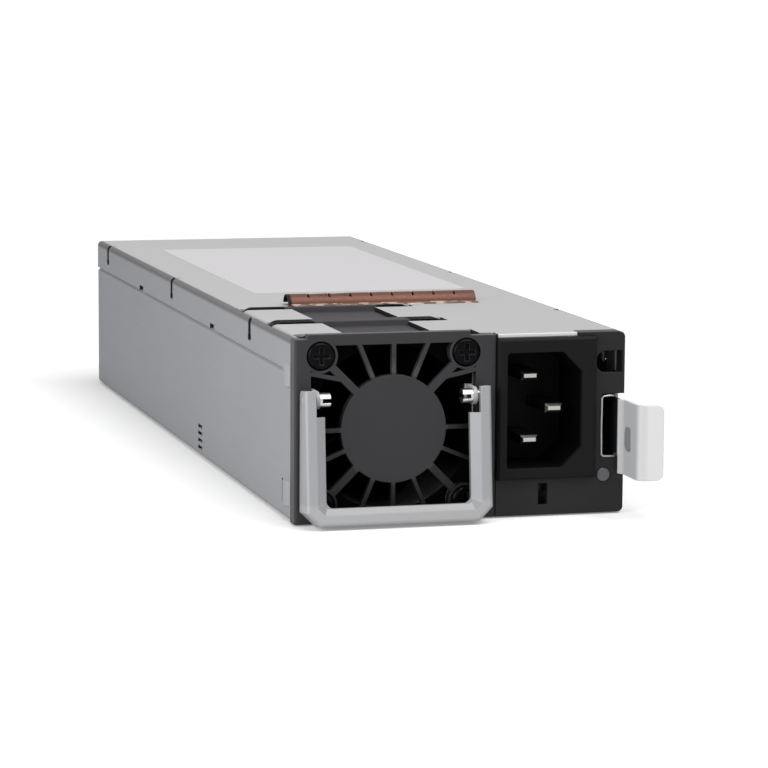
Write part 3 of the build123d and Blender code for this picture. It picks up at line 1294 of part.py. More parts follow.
# The output stage
with BuildPart() as rectifier_heatsink:
    block((LEFT + 8, LEFT + 46), (OUTPUT_Y - 6, OUTPUT_Y + 5), (BOARD_TOP, BOARD_TOP + 3))
    for i in range(8):
        fin_x = LEFT + 8 + 5.2 * i
        block((fin_x, fin_x + 1.4), (OUTPUT_Y - 6, OUTPUT_Y + 5), (BOARD_TOP, BOARD_TOP + 20))
write(rectifier_heatsink.part, "rectifier_heatsink")

with BuildPart() as output_capacitors:
    for i in range(5):
        for j in range(2):
            rod_z(4.0, LEFT + 16 + 9.2 * i, OUTPUT_Y + 11 + 9.4 * j, (BOARD_TOP, BOARD_TOP + 17))
    fillet(output_capacitors.edges().filter_by(GeomType.CIRCLE).group_by(Axis.Z)[-1], 0.6)
write(output_capacitors.part, "output_capacitors")

with BuildPart() as bus_bars:
    for bar_x in (LEFT + 4.5, RIGHT - 13):
        block((bar_x, bar_x + 1.5), (OUTPUT_Y + 6, REAR - 12), (BOARD_TOP, BOARD_TOP + 7))
write(bus_bars.part, "bus_bars")
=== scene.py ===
import json

import bpy
import numpy as np
from mathutils import Matrix, Vector


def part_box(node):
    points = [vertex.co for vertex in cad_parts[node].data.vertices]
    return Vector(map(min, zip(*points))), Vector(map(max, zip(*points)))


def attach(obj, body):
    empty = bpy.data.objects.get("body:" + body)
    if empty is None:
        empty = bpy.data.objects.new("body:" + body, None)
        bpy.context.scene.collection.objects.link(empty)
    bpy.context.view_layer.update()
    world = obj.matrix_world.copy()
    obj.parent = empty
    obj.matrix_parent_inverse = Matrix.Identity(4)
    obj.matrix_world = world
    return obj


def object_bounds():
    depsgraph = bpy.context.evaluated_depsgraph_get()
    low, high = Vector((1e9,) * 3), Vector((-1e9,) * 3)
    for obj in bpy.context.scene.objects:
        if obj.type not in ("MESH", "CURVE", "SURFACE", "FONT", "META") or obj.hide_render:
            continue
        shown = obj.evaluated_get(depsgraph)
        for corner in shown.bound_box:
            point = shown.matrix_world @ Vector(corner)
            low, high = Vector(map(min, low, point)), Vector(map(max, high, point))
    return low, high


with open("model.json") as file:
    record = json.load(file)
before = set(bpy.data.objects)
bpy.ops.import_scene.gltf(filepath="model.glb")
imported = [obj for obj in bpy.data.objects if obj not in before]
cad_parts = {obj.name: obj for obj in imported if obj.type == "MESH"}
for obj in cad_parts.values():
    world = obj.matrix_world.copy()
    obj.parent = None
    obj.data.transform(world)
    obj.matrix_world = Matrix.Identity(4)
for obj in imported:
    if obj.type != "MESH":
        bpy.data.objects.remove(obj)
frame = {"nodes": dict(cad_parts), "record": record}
cad_low, cad_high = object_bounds()
nodes = frame["nodes"]
MM = 0.001


# Folded steel case: a base with stepped walls and a shallow lid that drops over them.
# Zinc coated sheet, 0.8 mm thick, with a satin grain that runs along the length from the rolling mill;
# cut and folded, so that its edges are rounded and a little brighter, partly from wear and partly as a
# painted highlight.
def add(tree, kind, sockets=None, **settings):
    """Adds one shader node. sockets gives each named input a value, or another node's output to link to."""
    node = tree.nodes.new("ShaderNode" + kind)
    for key, value in settings.items():
        setattr(node, key, value)
    for key, value in (sockets or {}).items():
        if isinstance(value, bpy.types.NodeSocket):
            tree.links.new(value, node.inputs[key])
        else:
            node.inputs[key].default_value = value
    return node


def effect(name, inputs, outputs):
    """New node group for an effect that several finishes share; returns it with its two end nodes."""
    group = bpy.data.node_groups.new(name, "ShaderNodeTree")
    for label, kind in inputs:
        group.interface.new_socket(label, in_out="INPUT", socket_type="NodeSocket" + kind)
    for label, kind in outputs:
        group.interface.new_socket(label, in_out="OUTPUT", socket_type="NodeSocket" + kind)
    return group, group.nodes.new("NodeGroupInput"), group.nodes.new("NodeGroupOutput")


def use(tree, group, **values):
    """Places a shared effect in a finish with its own values; underscores stand for spaces."""
    node = tree.nodes.new("ShaderNodeGroup")
    node.node_tree = group
    for key, value in values.items():
        node.inputs[key.replace("_", " ")].default_value = value
    return node


def blend(tree, factor, first, second):
    """Colour that goes from first at factor 0 to second at factor 1."""
    mix = tree.nodes.new("ShaderNodeMix")
    mix.data_type = "RGBA"
    for socket, value in ((mix.inputs[0], factor), (mix.inputs[6], first), (mix.inputs[7], second)):
        if isinstance(value, bpy.types.NodeSocket):
            tree.links.new(value, socket)
        else:
            socket.default_value = value
    return mix.outputs[2]


def shade(colour, amount):
    """Colour with its red, green and blue multiplied by amount, as four numbers."""
    return (*[channel * amount for channel in colour], 1.0)


CLOUDS_PER_M = 38.0
SPECKS_PER_M = 2600.0
STREAK_SHARE = 0.55
CLOUD_SHARE = 0.4
SPECK_SHARE = 0.15
TONE_SHIFT = -0.05


def make_rolled_grain():
    """Rolling grain of sheet metal: fine noise drawn out by Stretch, plus slow clouds and fine specks.
    Tone is their weighted sum about one half, and Height is the drawn out noise alone."""
    group, ends_in, ends_out = effect(
        "rolled_grain",
        [("Stretch", "Vector"), ("Scale", "Float")],
        [("Tone", "Float"), ("Height", "Float")],
    )
    place = add(group, "TexCoord").outputs["Object"]
    drawn = add(group, "VectorMath", {0: place, 1: ends_in.outputs["Stretch"]}, operation="MULTIPLY")
    streak = add(
        group, "TexNoise", {"Vector": drawn.outputs[0], "Scale": ends_in.outputs["Scale"], "Detail": 4.0}
    ).outputs["Fac"]
    cloud = add(group, "TexNoise", {"Vector": place, "Scale": CLOUDS_PER_M, "Detail": 3.0}).outputs["Fac"]
    speck = add(group, "TexNoise", {"Vector": place, "Scale": SPECKS_PER_M, "Detail": 1.0}).outputs["Fac"]
    drawn_part = {0: streak, 1: STREAK_SHARE, 2: TONE_SHIFT}
    some = add(group, "Math", drawn_part, operation="MULTIPLY_ADD").outputs[0]
    more = add(group, "Math", {0: cloud, 1: CLOUD_SHARE, 2: some}, operation="MULTIPLY_ADD").outputs[0]
    tone = add(group, "Math", {0: speck, 1: SPECK_SHARE, 2: more}, operation="MULTIPLY_ADD").outputs[0]
    group.links.new(tone, ends_out.inputs["Tone"])
    group.links.new(streak, ends_out.inputs["Height"])
    return group


RUBS_AND_GLINTS_PER_M = 420.0
EDGE_RAYS = 6


def make_edge_wear_and_glint():
    """Softened edges: Normal is the surface's normal averaged within Radius, and Mask grows where that
    average leaves the true normal, broken up by noise, so it is 1 on edges and 0 on flat areas. It stands
    for rubbed edges, and where a finish brightens its edges strongly, for painted glints and highlights."""
    group, ends_in, ends_out = effect(
        "edge_wear_and_glint", [("Radius", "Float"), ("Gain", "Float")], [("Mask", "Float"), ("Normal", "Vector")]
    )
    soft = add(group, "Bevel", {"Radius": ends_in.outputs["Radius"]}, samples=EDGE_RAYS).outputs["Normal"]
    true = add(group, "NewGeometry").outputs["Normal"]
    likeness = add(group, "VectorMath", {0: soft, 1: true}, operation="DOT_PRODUCT").outputs["Value"]
    apart = add(group, "Math", {0: 1.0, 1: likeness}, operation="SUBTRACT").outputs[0]
    place = add(group, "TexCoord").outputs["Object"]
    patchy = add(group, "TexNoise", {"Vector": place, "Scale": RUBS_AND_GLINTS_PER_M, "Detail": 3.0}).outputs["Fac"]
    strong = add(group, "Math", {0: apart, 1: ends_in.outputs["Gain"]}, operation="MULTIPLY").outputs[0]
    mask = add(group, "Math", {0: strong, 1: patchy}, operation="MULTIPLY", use_clamp=True).outputs[0]
    group.links.new(mask, ends_out.inputs["Mask"])
    group.links.new(soft, ends_out.inputs["Normal"])
    return group


rolled_grain = make_rolled_grain()
edge_wear_and_glint = make_edge_wear_and_glint()


def bare_material(name):
    """New material; returns it, its node tree and its Principled shader."""
    material = bpy.data.materials.new(name)
    material.use_nodes = True
    tree = material.node_tree
    tree.nodes.clear()
    shader = tree.nodes.new("ShaderNodeBsdfPrincipled")
    output = tree.nodes.new("ShaderNodeOutputMaterial")
    tree.links.new(shader.outputs["BSDF"], output.inputs["Surface"])
    return material, tree, shader


FAN_AXIS = (-15.05, 0.0, 19.9)
PATCHES_PER_MM = 0.35
SIDES = {"up": (0.0, 0.0, 1.0), "front": (0.0, -1.0, 0.0), "left": (-1.0, 0.0, 0.0)}


def make_share(axis):
    """Place on the piece as a share, 0 at Start and 1 at End. X, Y and Z are mm from the origin, X to both
    sides; fan is the distance in mm from the fan's axis, patches is noise between 0 and 1, and up, front
    and left are the part of the surface's normal that points there."""
    group, ends_in, ends_out = effect(
        "share_" + axis, [("Start", "Float"), ("End", "Float")], [("Share", "Float")]
    )
    spot = add(group, "TexCoord")
    in_mm = {0: spot.outputs["Object"], "Scale": 1.0 / MM}
    far = add(group, "VectorMath", in_mm, operation="SCALE").outputs[0]
    if axis in SIDES:
        towards = {0: spot.outputs["Normal"], 1: SIDES[axis]}
        value = add(group, "VectorMath", towards, operation="DOT_PRODUCT").outputs["Value"]
    elif axis == "patches":
        spread = {"Vector": far, "Scale": PATCHES_PER_MM, "Detail": 2.0}
        value = add(group, "TexNoise", spread).outputs["Fac"]
    elif axis == "fan":
        reach = add(group, "VectorMath", {0: far, 1: FAN_AXIS}, operation="SUBTRACT").outputs[0]
        flat = add(group, "VectorMath", {0: reach, 1: (1.0, 0.0, 1.0)}, operation="MULTIPLY").outputs[0]
        value = add(group, "VectorMath", {0: flat}, operation="LENGTH").outputs["Value"]
    else:
        value = add(group, "SeparateXYZ", {0: far}).outputs[axis]
    if axis == "X":
        value = add(group, "Math", {0: value}, operation="ABSOLUTE").outputs[0]
    limits = {1: ends_in.outputs["Start"], 2: ends_in.outputs["End"]}
    share = add(group, "MapRange", {0: value, **limits, 3: 0.0, 4: 1.0})
    group.links.new(share.outputs[0], ends_out.inputs["Share"])
    return group


shares = {axis: make_share(axis) for axis in ("X", "Y", "Z", "fan", "patches", *SIDES)}


def inside(tree, zone):
    """Product of a zone's shares, each given as its axis and the places where it is 0 and 1."""
    product = 1.0
    for axis, start, end in zone:
        share = use(tree, shares[axis], Start=start, End=end).outputs["Share"]
        product = add(tree, "Math", {0: share, 1: product}, operation="MULTIPLY").outputs[0]
    return product


GRAIN_PER_M = 1500.0
METAL_WEAR_AND_GLINT_GAIN = 3.0
METAL_BUMP = 0.25
TONE_LOW = 0.3
TONE_HIGH = 0.7


def sheet_metal(
    name,
    colour,
    roughness,
    stretch,
    metallic=1.0,
    depth=0.02,
    edge=1.25,
    edge_mm=0.25,
    varies=0.1,
    gloss=0.5,
    zones=(),
):
    """Rolled or drawn metal: colour varies by the share varies with the grain, brighter by the factor edge
    on its edges, which is wear where edge is small and a painted highlight or glint where it is large, and
    roughness varies by a quarter the other way; gloss is the clear share of its reflection. Each of the
    zones has a colour of its own, some of them painted light or shade."""
    material, tree, shader = bare_material(name)
    grain = use(tree, rolled_grain, Stretch=stretch, Scale=GRAIN_PER_M)
    rim = use(tree, edge_wear_and_glint, Radius=edge_mm * MM, Gain=METAL_WEAR_AND_GLINT_GAIN)
    surface = blend(tree, grain.outputs["Tone"], shade(colour, 1 - varies), shade(colour, 1 + varies))
    wear_and_painted_light = blend(tree, rim.outputs["Mask"], surface, shade(colour, edge))
    for zone, zone_colour in zones:
        wear_and_painted_light = blend(tree, inside(tree, zone), wear_and_painted_light, shade(zone_colour, 1.0))
    tree.links.new(wear_and_painted_light, shader.inputs["Base Color"])
    rough = add(
        tree,
        "MapRange",
        {0: grain.outputs["Tone"], 1: TONE_LOW, 2: TONE_HIGH, 3: roughness * 1.15, 4: roughness * 0.9},
    )
    tree.links.new(rough.outputs[0], shader.inputs["Roughness"])
    bump = add(
        tree,
        "Bump",
        {
            "Strength": METAL_BUMP,
            "Distance": depth * MM,
            "Height": grain.outputs["Height"],
            "Normal": rim.outputs["Normal"],
        },
    )
    tree.links.new(bump.outputs["Normal"], shader.inputs["Normal"])
    shader.inputs["Metallic"].default_value = metallic
    shader.inputs["Specular IOR Level"].default_value = gloss
    return material


def dress(material, *names):
    """Gives the finish to the solids of these names."""
    for name in names:
        nodes[name].material_slots[0].material = material


ALONG = (1.0, 0.03, 1.0)
DRAWN = (1.0, 0.05, 1.0)
EVEN = (1.0, 1.0, 1.0)
ZINC = (0.428, 0.434, 0.458)
# Painted light: faces that look up get a paler zinc, standing for the light from above.
LIT_TOP_TONE = (0.54, 0.54, 0.545)
# Painted shade: the rounded folds along the lid's top edges are darkened, standing for the shade on their
# turned faces.
FOLD_SHADE_TONE = (0.2, 0.2, 0.205)
# Painted shade: the cut faces of the slits and of the lid's opening are nearly black, standing for the
# shade inside them.
CUT_SHADE_TONE = (0.03, 0.03, 0.032)
# Painted highlight: the lid's front lip is nearly white, standing for the light on that edge.
LIP_HIGHLIGHT_TONE = (0.85, 0.85, 0.85)
LIT_TOP_FACES = (("up", 0.8, 0.95),)
SHADED_FOLD = (("X", 35.3, 35.9), ("Z", 37.9, 38.6))
SHADED_CUTS = (("front", 0.7, 0.9), ("X", 35.5, 35.7), ("Y", -110.6, -110.2))
LIT_LIP = (("Y", -113.6, -114.2),)
SHADED_OPENING_EDGE = (("left", 0.7, 0.9), ("X", 9.0, 8.0))
# The edge factor brightens the zinc's cut and folded edges, partly as wear and partly as a painted
# highlight.
ZINC_FINISH = {"metallic": 0.2, "depth": 0.01, "edge": 1.6, "edge_mm": 0.35, "varies": 0.05, "gloss": 0.0}
ZINC_ROUGHNESS = 0.45
BASE_ZONES = ((LIT_TOP_FACES, LIT_TOP_TONE), (SHADED_CUTS, CUT_SHADE_TONE))
LID_ZONES = (
    (LIT_TOP_FACES, LIT_TOP_TONE),
    (SHADED_FOLD, FOLD_SHADE_TONE),
    (SHADED_CUTS, CUT_SHADE_TONE),
    (LIT_LIP, LIP_HIGHLIGHT_TONE),
    (SHADED_OPENING_EDGE, CUT_SHADE_TONE),
)
zinc_sheet = sheet_metal("zinc_sheet", ZINC, ZINC_ROUGHNESS, ALONG, zones=BASE_ZONES, **ZINC_FINISH)
dress(zinc_sheet, "base_chassis", "handle_bracket")
folded_lid = sheet_metal("folded_lid", ZINC, ZINC_ROUGHNESS, ALONG, zones=LID_ZONES, **ZINC_FINISH)
dress(folded_lid, "top_cover")


# Bare label on the lid: a pale film with rounded corners, stuck down flat behind the contact strip.
# Satin polyester, a tenth of a millimetre thick, with nothing printed on it.
LABEL_LEFT = -24.75
LABEL_RIGHT = 27.85
LABEL_FRONT = -25.0
LABEL_REAR = 85.0
LABEL_T = 0.12
LABEL_CORNER = 1.5
LABEL_BEVEL = 0.06
FILM_DARK = (0.555, 0.54, 0.555)
FILM_LIGHT = (0.645, 0.63, 0.645)
FILM_CLOUDS_PER_M = 60.0
FILM_RIPPLES_PER_M = 160.0


def rounded_outline(left, right, front, rear, radius, steps=10):
    """Points round a rectangle, anticlockwise, whose four corners are quarter circles of the radius."""
    turn = np.linspace(0.0, np.pi / 2, steps)
    low_x, high_x = left + radius, right - radius
    low_y, high_y = front + radius, rear - radius
    runs = []
    for quarter, centre in enumerate(((high_x, high_y), (low_x, high_y), (low_x, low_y), (high_x, low_y))):
        angle = turn + quarter * np.pi / 2
        runs.append(np.array(centre) + radius * np.column_stack([np.cos(angle), np.sin(angle)]))
    return np.concatenate(runs)


def put_mesh(name, points, faces, material, body, slot, smooth=False):
    """Makes a piece from points in mm in the shared frame, gives it its finish and ties it to a body."""
    mesh = bpy.data.meshes.new(name)
    mesh.from_pydata((np.asarray(points) * MM).tolist(), [], faces)
    mesh.polygons.foreach_set("use_smooth", [smooth] * len(mesh.polygons))
    mesh.materials.append(material)
    mesh.validate()
    mesh.update()
    piece = bpy.data.objects.new(name, mesh)
    bpy.context.scene.collection.objects.link(piece)
    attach(piece, body)
    return piece


def stacked_rings(rings):
    """Closed solid from equal rings of points, one above the other: quads between rings, and a face on
    each end."""
    count = len(rings[0])
    points = np.concatenate(rings)
    around = np.arange(count)
    after = (around + 1) % count
    faces = []
    for level in range(len(rings) - 1):
        low = level * count
        high = low + count
        faces += np.column_stack([low + around, low + after, high + after, high + around]).tolist()
    faces.append(around[::-1].tolist())
    faces.append((around + (len(rings) - 1) * count).tolist())
    return points, faces


def label_film():
    """Film finish: pale grey with slow clouds and a faint ripple from the glue beneath."""
    material, tree, shader = bare_material("label_film")
    place = add(tree, "TexCoord").outputs["Object"]
    clouds = {"Vector": place, "Scale": FILM_CLOUDS_PER_M, "Detail": 4.0}
    cloud = add(tree, "TexNoise", clouds).outputs["Fac"]
    colour = blend(tree, cloud, shade(FILM_DARK, 1.0), shade(FILM_LIGHT, 1.0))
    tree.links.new(colour, shader.inputs["Base Color"])
    rough = add(tree, "MapRange", {0: cloud, 1: TONE_LOW, 2: TONE_HIGH, 3: 0.42, 4: 0.55})
    tree.links.new(rough.outputs[0], shader.inputs["Roughness"])
    waves = {"Vector": place, "Scale": FILM_RIPPLES_PER_M, "Detail": 2.0}
    ripple = add(tree, "TexNoise", waves).outputs["Fac"]
    bump = add(tree, "Bump", {"Strength": 0.2, "Distance": 0.05 * MM, "Height": ripple})
    tree.links.new(bump.outputs["Normal"], shader.inputs["Normal"])
    return material


lid_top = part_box("top_cover")[1].z / MM
label_rings = []
for inset, lift in ((0.0, 0.0), (0.0, LABEL_T * 0.6), (LABEL_BEVEL, LABEL_T)):
    outline = rounded_outline(
        LABEL_LEFT + inset, LABEL_RIGHT - inset, LABEL_FRONT + inset, LABEL_REAR - inset, LABEL_CORNER
    )
    label_rings.append(np.column_stack([outline, np.full(len(outline), lid_top + lift)]))
put_mesh("cover_label", *stacked_rings(label_rings), label_film(), "case", "insulator")


# Spring contact strip: nine arched fingers across the lid that ground the module in its bay.
# Copper alloy strip, browned by handling, clipped through the lid along its front edge.
TARNISH = (0.125, 0.058, 0.042)
# Painted highlight: the strip's foot is paler, with bright specks, standing for the light along its lower
# edge.
FOOT_LIGHT_TONE = (0.20, 0.125, 0.10)
FOOT_GLINT_TONE = (0.62, 0.50, 0.40)
END_TONE = (0.012, 0.01, 0.01)
STRIP_FOOT = (("Z", 39.95, 39.7),)
GLINTING_FOOT = STRIP_FOOT + (("patches", 0.5, 0.56),)
STRIP_END = (("X", 22.1, 22.4),)
tarnished_copper = sheet_metal(
    "tarnished_copper",
    TARNISH,
    0.45,
    EVEN,
    metallic=0.6,
    edge=2.4,
    varies=0.35,
    gloss=0.2,
    zones=((STRIP_FOOT, FOOT_LIGHT_TONE), (GLINTING_FOOT, FOOT_GLINT_TONE), (STRIP_END, END_TONE)),
)
dress(tarnished_copper, "contact_strip")


# Fan: two square halves of the 40 mm class behind the bezel, each with a ducted frame, a bladed rotor and
# its motor. Black glass filled plastic, paler on its upward faces and on a band of its rim where the lid is
# open over it; steel spindle and bearings, a bonded magnet ring and copper wound cores.
BLOTCHES_PER_M = 70.0
PIT_SHARE = 0.45
BLOTCH_SHARE = 0.55


def make_moulded_grain():
    """Spark eroded mould texture: fine noise of the given Scale for Height, and slow clouds with the same
    noise for Tone."""
    group, ends_in, ends_out = effect(
        "moulded_grain", [("Scale", "Float")], [("Tone", "Float"), ("Height", "Float")]
    )
    place = add(group, "TexCoord").outputs["Object"]
    pits = add(
        group, "TexNoise", {"Vector": place, "Scale": ends_in.outputs["Scale"], "Detail": 2.0}
    ).outputs["Fac"]
    cloud = add(group, "TexNoise", {"Vector": place, "Scale": BLOTCHES_PER_M, "Detail": 3.0}).outputs["Fac"]
    part = add(group, "Math", {0: pits, 1: PIT_SHARE, 2: 0.0}, operation="MULTIPLY_ADD").outputs[0]
    tone = add(group, "Math", {0: cloud, 1: BLOTCH_SHARE, 2: part}, operation="MULTIPLY_ADD").outputs[0]
    group.links.new(tone, ends_out.inputs["Tone"])
    group.links.new(pits, ends_out.inputs["Height"])
    return group


moulded_grain = make_moulded_grain()
PLASTIC_WEAR = 2.0
PLASTIC_BUMP = 0.3


def moulded(
    name,
    colour,
    roughness,
    grain_mm=0.35,
    depth=0.03,
    edge=1.6,
    edge_mm=0.3,
    coat=0.0,
    gloss=0.5,
    zones=(),
):
    """Moulded plastic: colour varies by a seventh with the texture, paler on rubbed edges, with a pitted
    bump; gloss is the clear share of its reflection. Each of the zones has a colour of its own."""
    material, tree, shader = bare_material(name)
    grain = use(tree, moulded_grain, Scale=1.0 / (grain_mm * MM))
    rim = use(tree, edge_wear_and_glint, Radius=edge_mm * MM, Gain=PLASTIC_WEAR)
    surface = blend(tree, grain.outputs["Tone"], shade(colour, 0.85), shade(colour, 1.15))
    wear_and_painted_light = blend(tree, rim.outputs["Mask"], surface, shade(colour, edge))
    for zone, zone_colour in zones:
        wear_and_painted_light = blend(tree, inside(tree, zone), wear_and_painted_light, shade(zone_colour, 1.0))
    tree.links.new(wear_and_painted_light, shader.inputs["Base Color"])
    rough = add(
        tree,
        "MapRange",
        {0: grain.outputs["Tone"], 1: TONE_LOW, 2: TONE_HIGH, 3: roughness * 0.92, 4: roughness * 1.08},
    )
    tree.links.new(rough.outputs[0], shader.inputs["Roughness"])
    bump = add(
        tree,
        "Bump",
        {
            "Strength": PLASTIC_BUMP,
            "Distance": depth * MM,
            "Height": grain.outputs["Height"],
            "Normal": rim.outputs["Normal"],
        },
    )
    tree.links.new(bump.outputs["Normal"], shader.inputs["Normal"])
    shader.inputs["Coat Weight"].default_value = coat
    shader.inputs["Specular IOR Level"].default_value = gloss
    return material


FAN_BLACK = (0.003, 0.003, 0.0032)
# Upward faces under the lid's opening and a band of the frames' rim are given a paler grey.
PALE_FAN_TONE = (0.078, 0.074, 0.079)
PALE_SADDLE = (("up", 0.5, 0.8), ("Z", 39.4, 39.0))
PALE_RIM_BAND = (("Z", 38.2, 38.5), ("X", 3.4, 3.9), ("X", 25.6, 25.0))
fan_plastic = moulded(
    "fan_plastic",
    FAN_BLACK,
    0.6,
    gloss=0.02,
    zones=((PALE_SADDLE, PALE_FAN_TONE), (PALE_RIM_BAND, PALE_FAN_TONE)),
)
rotor_plastic = moulded("rotor_plastic", FAN_BLACK, 0.5, gloss=0.05)
dress(fan_plastic, "fan_front_frame", "fan_rear_frame")
dress(rotor_plastic, "fan_front_impeller", "fan_rear_impeller")
ground_steel = sheet_metal("ground_steel", (0.58, 0.58, 0.59), 0.22, DRAWN)
dress(ground_steel, "fan_front_shaft", "fan_rear_shaft", "fan_bearings")
bonded_magnet = moulded("bonded_magnet", (0.06, 0.06, 0.065), 0.6, grain_mm=0.2)
dress(bonded_magnet, "fan_front_magnet", "fan_rear_magnet")


BANDS_PER_PITCH = 0.314


def wound_wire(name, colour, pitch, axis, roughness=0.3):
    """Enamelled wire: bands of the given pitch in mm across axis, with a painted highlight on each turn's
    crown and painted shade between."""
    material, tree, shader = bare_material(name)
    place = add(tree, "TexCoord").outputs["Object"]
    turns = add(
        tree,
        "TexWave",
        {
            "Vector": place,
            "Scale": BANDS_PER_PITCH / (pitch * MM),
            "Distortion": 1.2,
            "Detail": 1.0,
            "Detail Scale": 2.0,
        },
        wave_type="BANDS",
        bands_direction=axis,
    ).outputs["Fac"]
    surface = blend(tree, turns, shade(colour, 0.35), shade(colour, 1.15))
    tree.links.new(surface, shader.inputs["Base Color"])
    rough = add(tree, "MapRange", {0: turns, 1: 0.0, 2: 1.0, 3: roughness * 1.8, 4: roughness})
    tree.links.new(rough.outputs[0], shader.inputs["Roughness"])
    bump = add(tree, "Bump", {"Strength": 0.8, "Distance": 0.3 * pitch * MM, "Height": turns})
    tree.links.new(bump.outputs["Normal"], shader.inputs["Normal"])
    shader.inputs["Metallic"].default_value = 0.8
    return material


motor_winding = wound_wire("motor_winding", (0.42, 0.2, 0.1), 0.4, "Y")
dress(motor_winding, "fan_front_stator", "fan_rear_stator")


# Fan bezel: moulded face with a spoked grille over the fan and a closed disc in front of its motor.
# Charcoal plastic with a fine mould texture, with painted shade on the lower spokes and bosses and a
# painted highlight on the upper spokes; four black oxide pan head screws, with painted glints on their
# edges, hold it through the fan.
SHADE_TONE = (0.006, 0.006, 0.0066)
# Painted highlight: the upper spokes are paler, standing for the light that falls on them from above.
SPOKE_HIGHLIGHT_TONE = (0.06, 0.06, 0.063)
SPOKES = (("fan", 11.9, 12.2), ("fan", 19.4, 18.6))
# Painted shade: the lower spokes and the bosses round the lower screws are darkened, standing for the shade
# that falls on them under light from above.
SHADED_LOW_SPOKES = SPOKES + (("Z", 27.0, 24.0),)
SHADED_LOW_BOSSES = (("fan", 18.0, 18.6), ("Z", 10.5, 9.0), ("X", 34.0, 33.4))
LIT_HIGH_SPOKES = SPOKES + (("Z", 30.0, 31.5), ("fan", 15.5, 12.5))
bezel_plastic = moulded(
    "bezel_plastic",
    (0.028, 0.028, 0.031),
    0.5,
    grain_mm=0.4,
    depth=0.05,
    gloss=0.33,
    zones=((SHADED_LOW_SPOKES, SHADE_TONE), (SHADED_LOW_BOSSES, SHADE_TONE), (LIT_HIGH_SPOKES, SPOKE_HIGHLIGHT_TONE)),
)
dress(bezel_plastic, "fan_bezel")
# Painted glints: edge brightens the black screw heads' edges seventy fold, standing for the glints of light
# on their rims.
black_screw = sheet_metal(
    "black_screw",
    (0.0025, 0.0025, 0.003),
    0.16,
    EVEN,
    metallic=0.0,
    edge=70.0,
    edge_mm=0.2,
    gloss=0.06,
)
dress(black_screw, "grille_screws")


# Carrying handle: a strip bent to an angle and mitred round a U, hung on two slotted studs.
# Nickel plated steel sheet with a satin face, with a painted light on the bar and a painted shade where the
# bar's dished inner edge looks up; small welded fillets round off its two inner corners, and the studs are
# turned steel.
HANDLE_GRAIN = (0.05, 1.0, 0.4)
# Painted shade: the faces of the bar's dish that look partly upwards are darkened against the light that
# falls on them from above.
DISH_SHADE_TONE = (0.29, 0.292, 0.30)
# Painted light: the bar is paler than the legs, standing for the light from above on its face.
BAR_LIGHT_TONE = (0.45, 0.453, 0.465)
LIT_BAR = (("Z", 5.6, 4.6),)
SHADED_DISH = (("up", 0.2, 0.45),)
handle_nickel = sheet_metal(
    "handle_nickel",
    (0.39, 0.395, 0.41),
    0.42,
    HANDLE_GRAIN,
    metallic=0.3,
    edge=1.6,
    varies=0.05,
    gloss=0.2,
    zones=((LIT_BAR, BAR_LIGHT_TONE), (SHADED_DISH, DISH_SHADE_TONE)),
)
dress(handle_nickel, "handle")
pivot = next(joint for joint in frame["record"]["behaviour"]["joints"] if joint["name"] == "handle_swing")
PIVOT = np.array(pivot["pos_m"]) / MM
LEAN = np.radians(5.0)
LEG_INSIDE = 15.9
BAR_INSIDE = -22.8
FILLET_R = 1.6
FILLET_DEPTHS = (-1.5, -0.7)
handle_up = np.array([0.0, np.sin(LEAN), np.cos(LEAN)])
handle_back = np.array([0.0, np.cos(LEAN), -np.sin(LEAN)])


def corner_fillet(side):
    """Filler of an inner corner: the corner's point and a quarter circle that touches both edges, given
    depth square to the handle's face. Side is -1 on the left and 1 on the right, where the points run the
    other way round, so that the faces point outwards on both."""
    turn = np.linspace(0.0, np.pi / 2, 9)
    across = np.concatenate([[LEG_INSIDE], LEG_INSIDE - FILLET_R + FILLET_R * np.cos(turn)])
    along = np.concatenate([[BAR_INSIDE], BAR_INSIDE + FILLET_R - FILLET_R * np.sin(turn)])
    flat = PIVOT + np.outer(side * across, [1.0, 0.0, 0.0]) + np.outer(along, handle_up)
    return [flat[::-side] + depth * handle_back for depth in FILLET_DEPTHS]


for side, label in ((-1, "left"), (1, "right")):
    fillet_points, fillet_faces = stacked_rings(corner_fillet(side))
    put_mesh(f"handle_fillet_{label}", fillet_points, fillet_faces, handle_nickel, "handle", "handle_steel")
turned_steel = sheet_metal("turned_steel", (0.56, 0.55, 0.54), 0.28, EVEN, edge=1.3)
dress(turned_steel, "handle_pivots", "cover_screws", "bracket_screw", "board_posts", "board_screws")


# Inlet panel: moulded plate beside the fan bezel with the slot for a cord tie, a lens and the latch's
# window. A darker charcoal plastic; the lens is a milky light pipe that ends at a lamp on the board.
panel_plastic = moulded("panel_plastic", (0.018, 0.018, 0.0195), 0.5, grain_mm=0.4, depth=0.05, gloss=0.2)
dress(panel_plastic, "inlet_panel")
milky_lens = moulded("milky_lens", (0.10, 0.10, 0.11), 0.3, edge=1.1, coat=0.2)
dress(milky_lens, "status_lens", "status_lamp")


# Mains inlet: a moulded socket turned on its side, with three flat pins.
# Matte black thermoplastic; the pins are nickel plated brass.
FLANGE_TONE = (0.011, 0.011, 0.012)
PIN_TIP_LIGHT_TONE = (0.45, 0.446, 0.43)
INLET_FLANGE = (("Y", -115.05, -115.25),)
LIT_PIN_TIPS = (("front", 0.85, 0.95),)
inlet_plastic = moulded(
    "inlet_plastic",
    (0.002, 0.002, 0.0022),
    0.5,
    grain_mm=0.3,
    gloss=0.08,
    zones=((INLET_FLANGE, FLANGE_TONE),),
)
dress(inlet_plastic, "inlet_body")
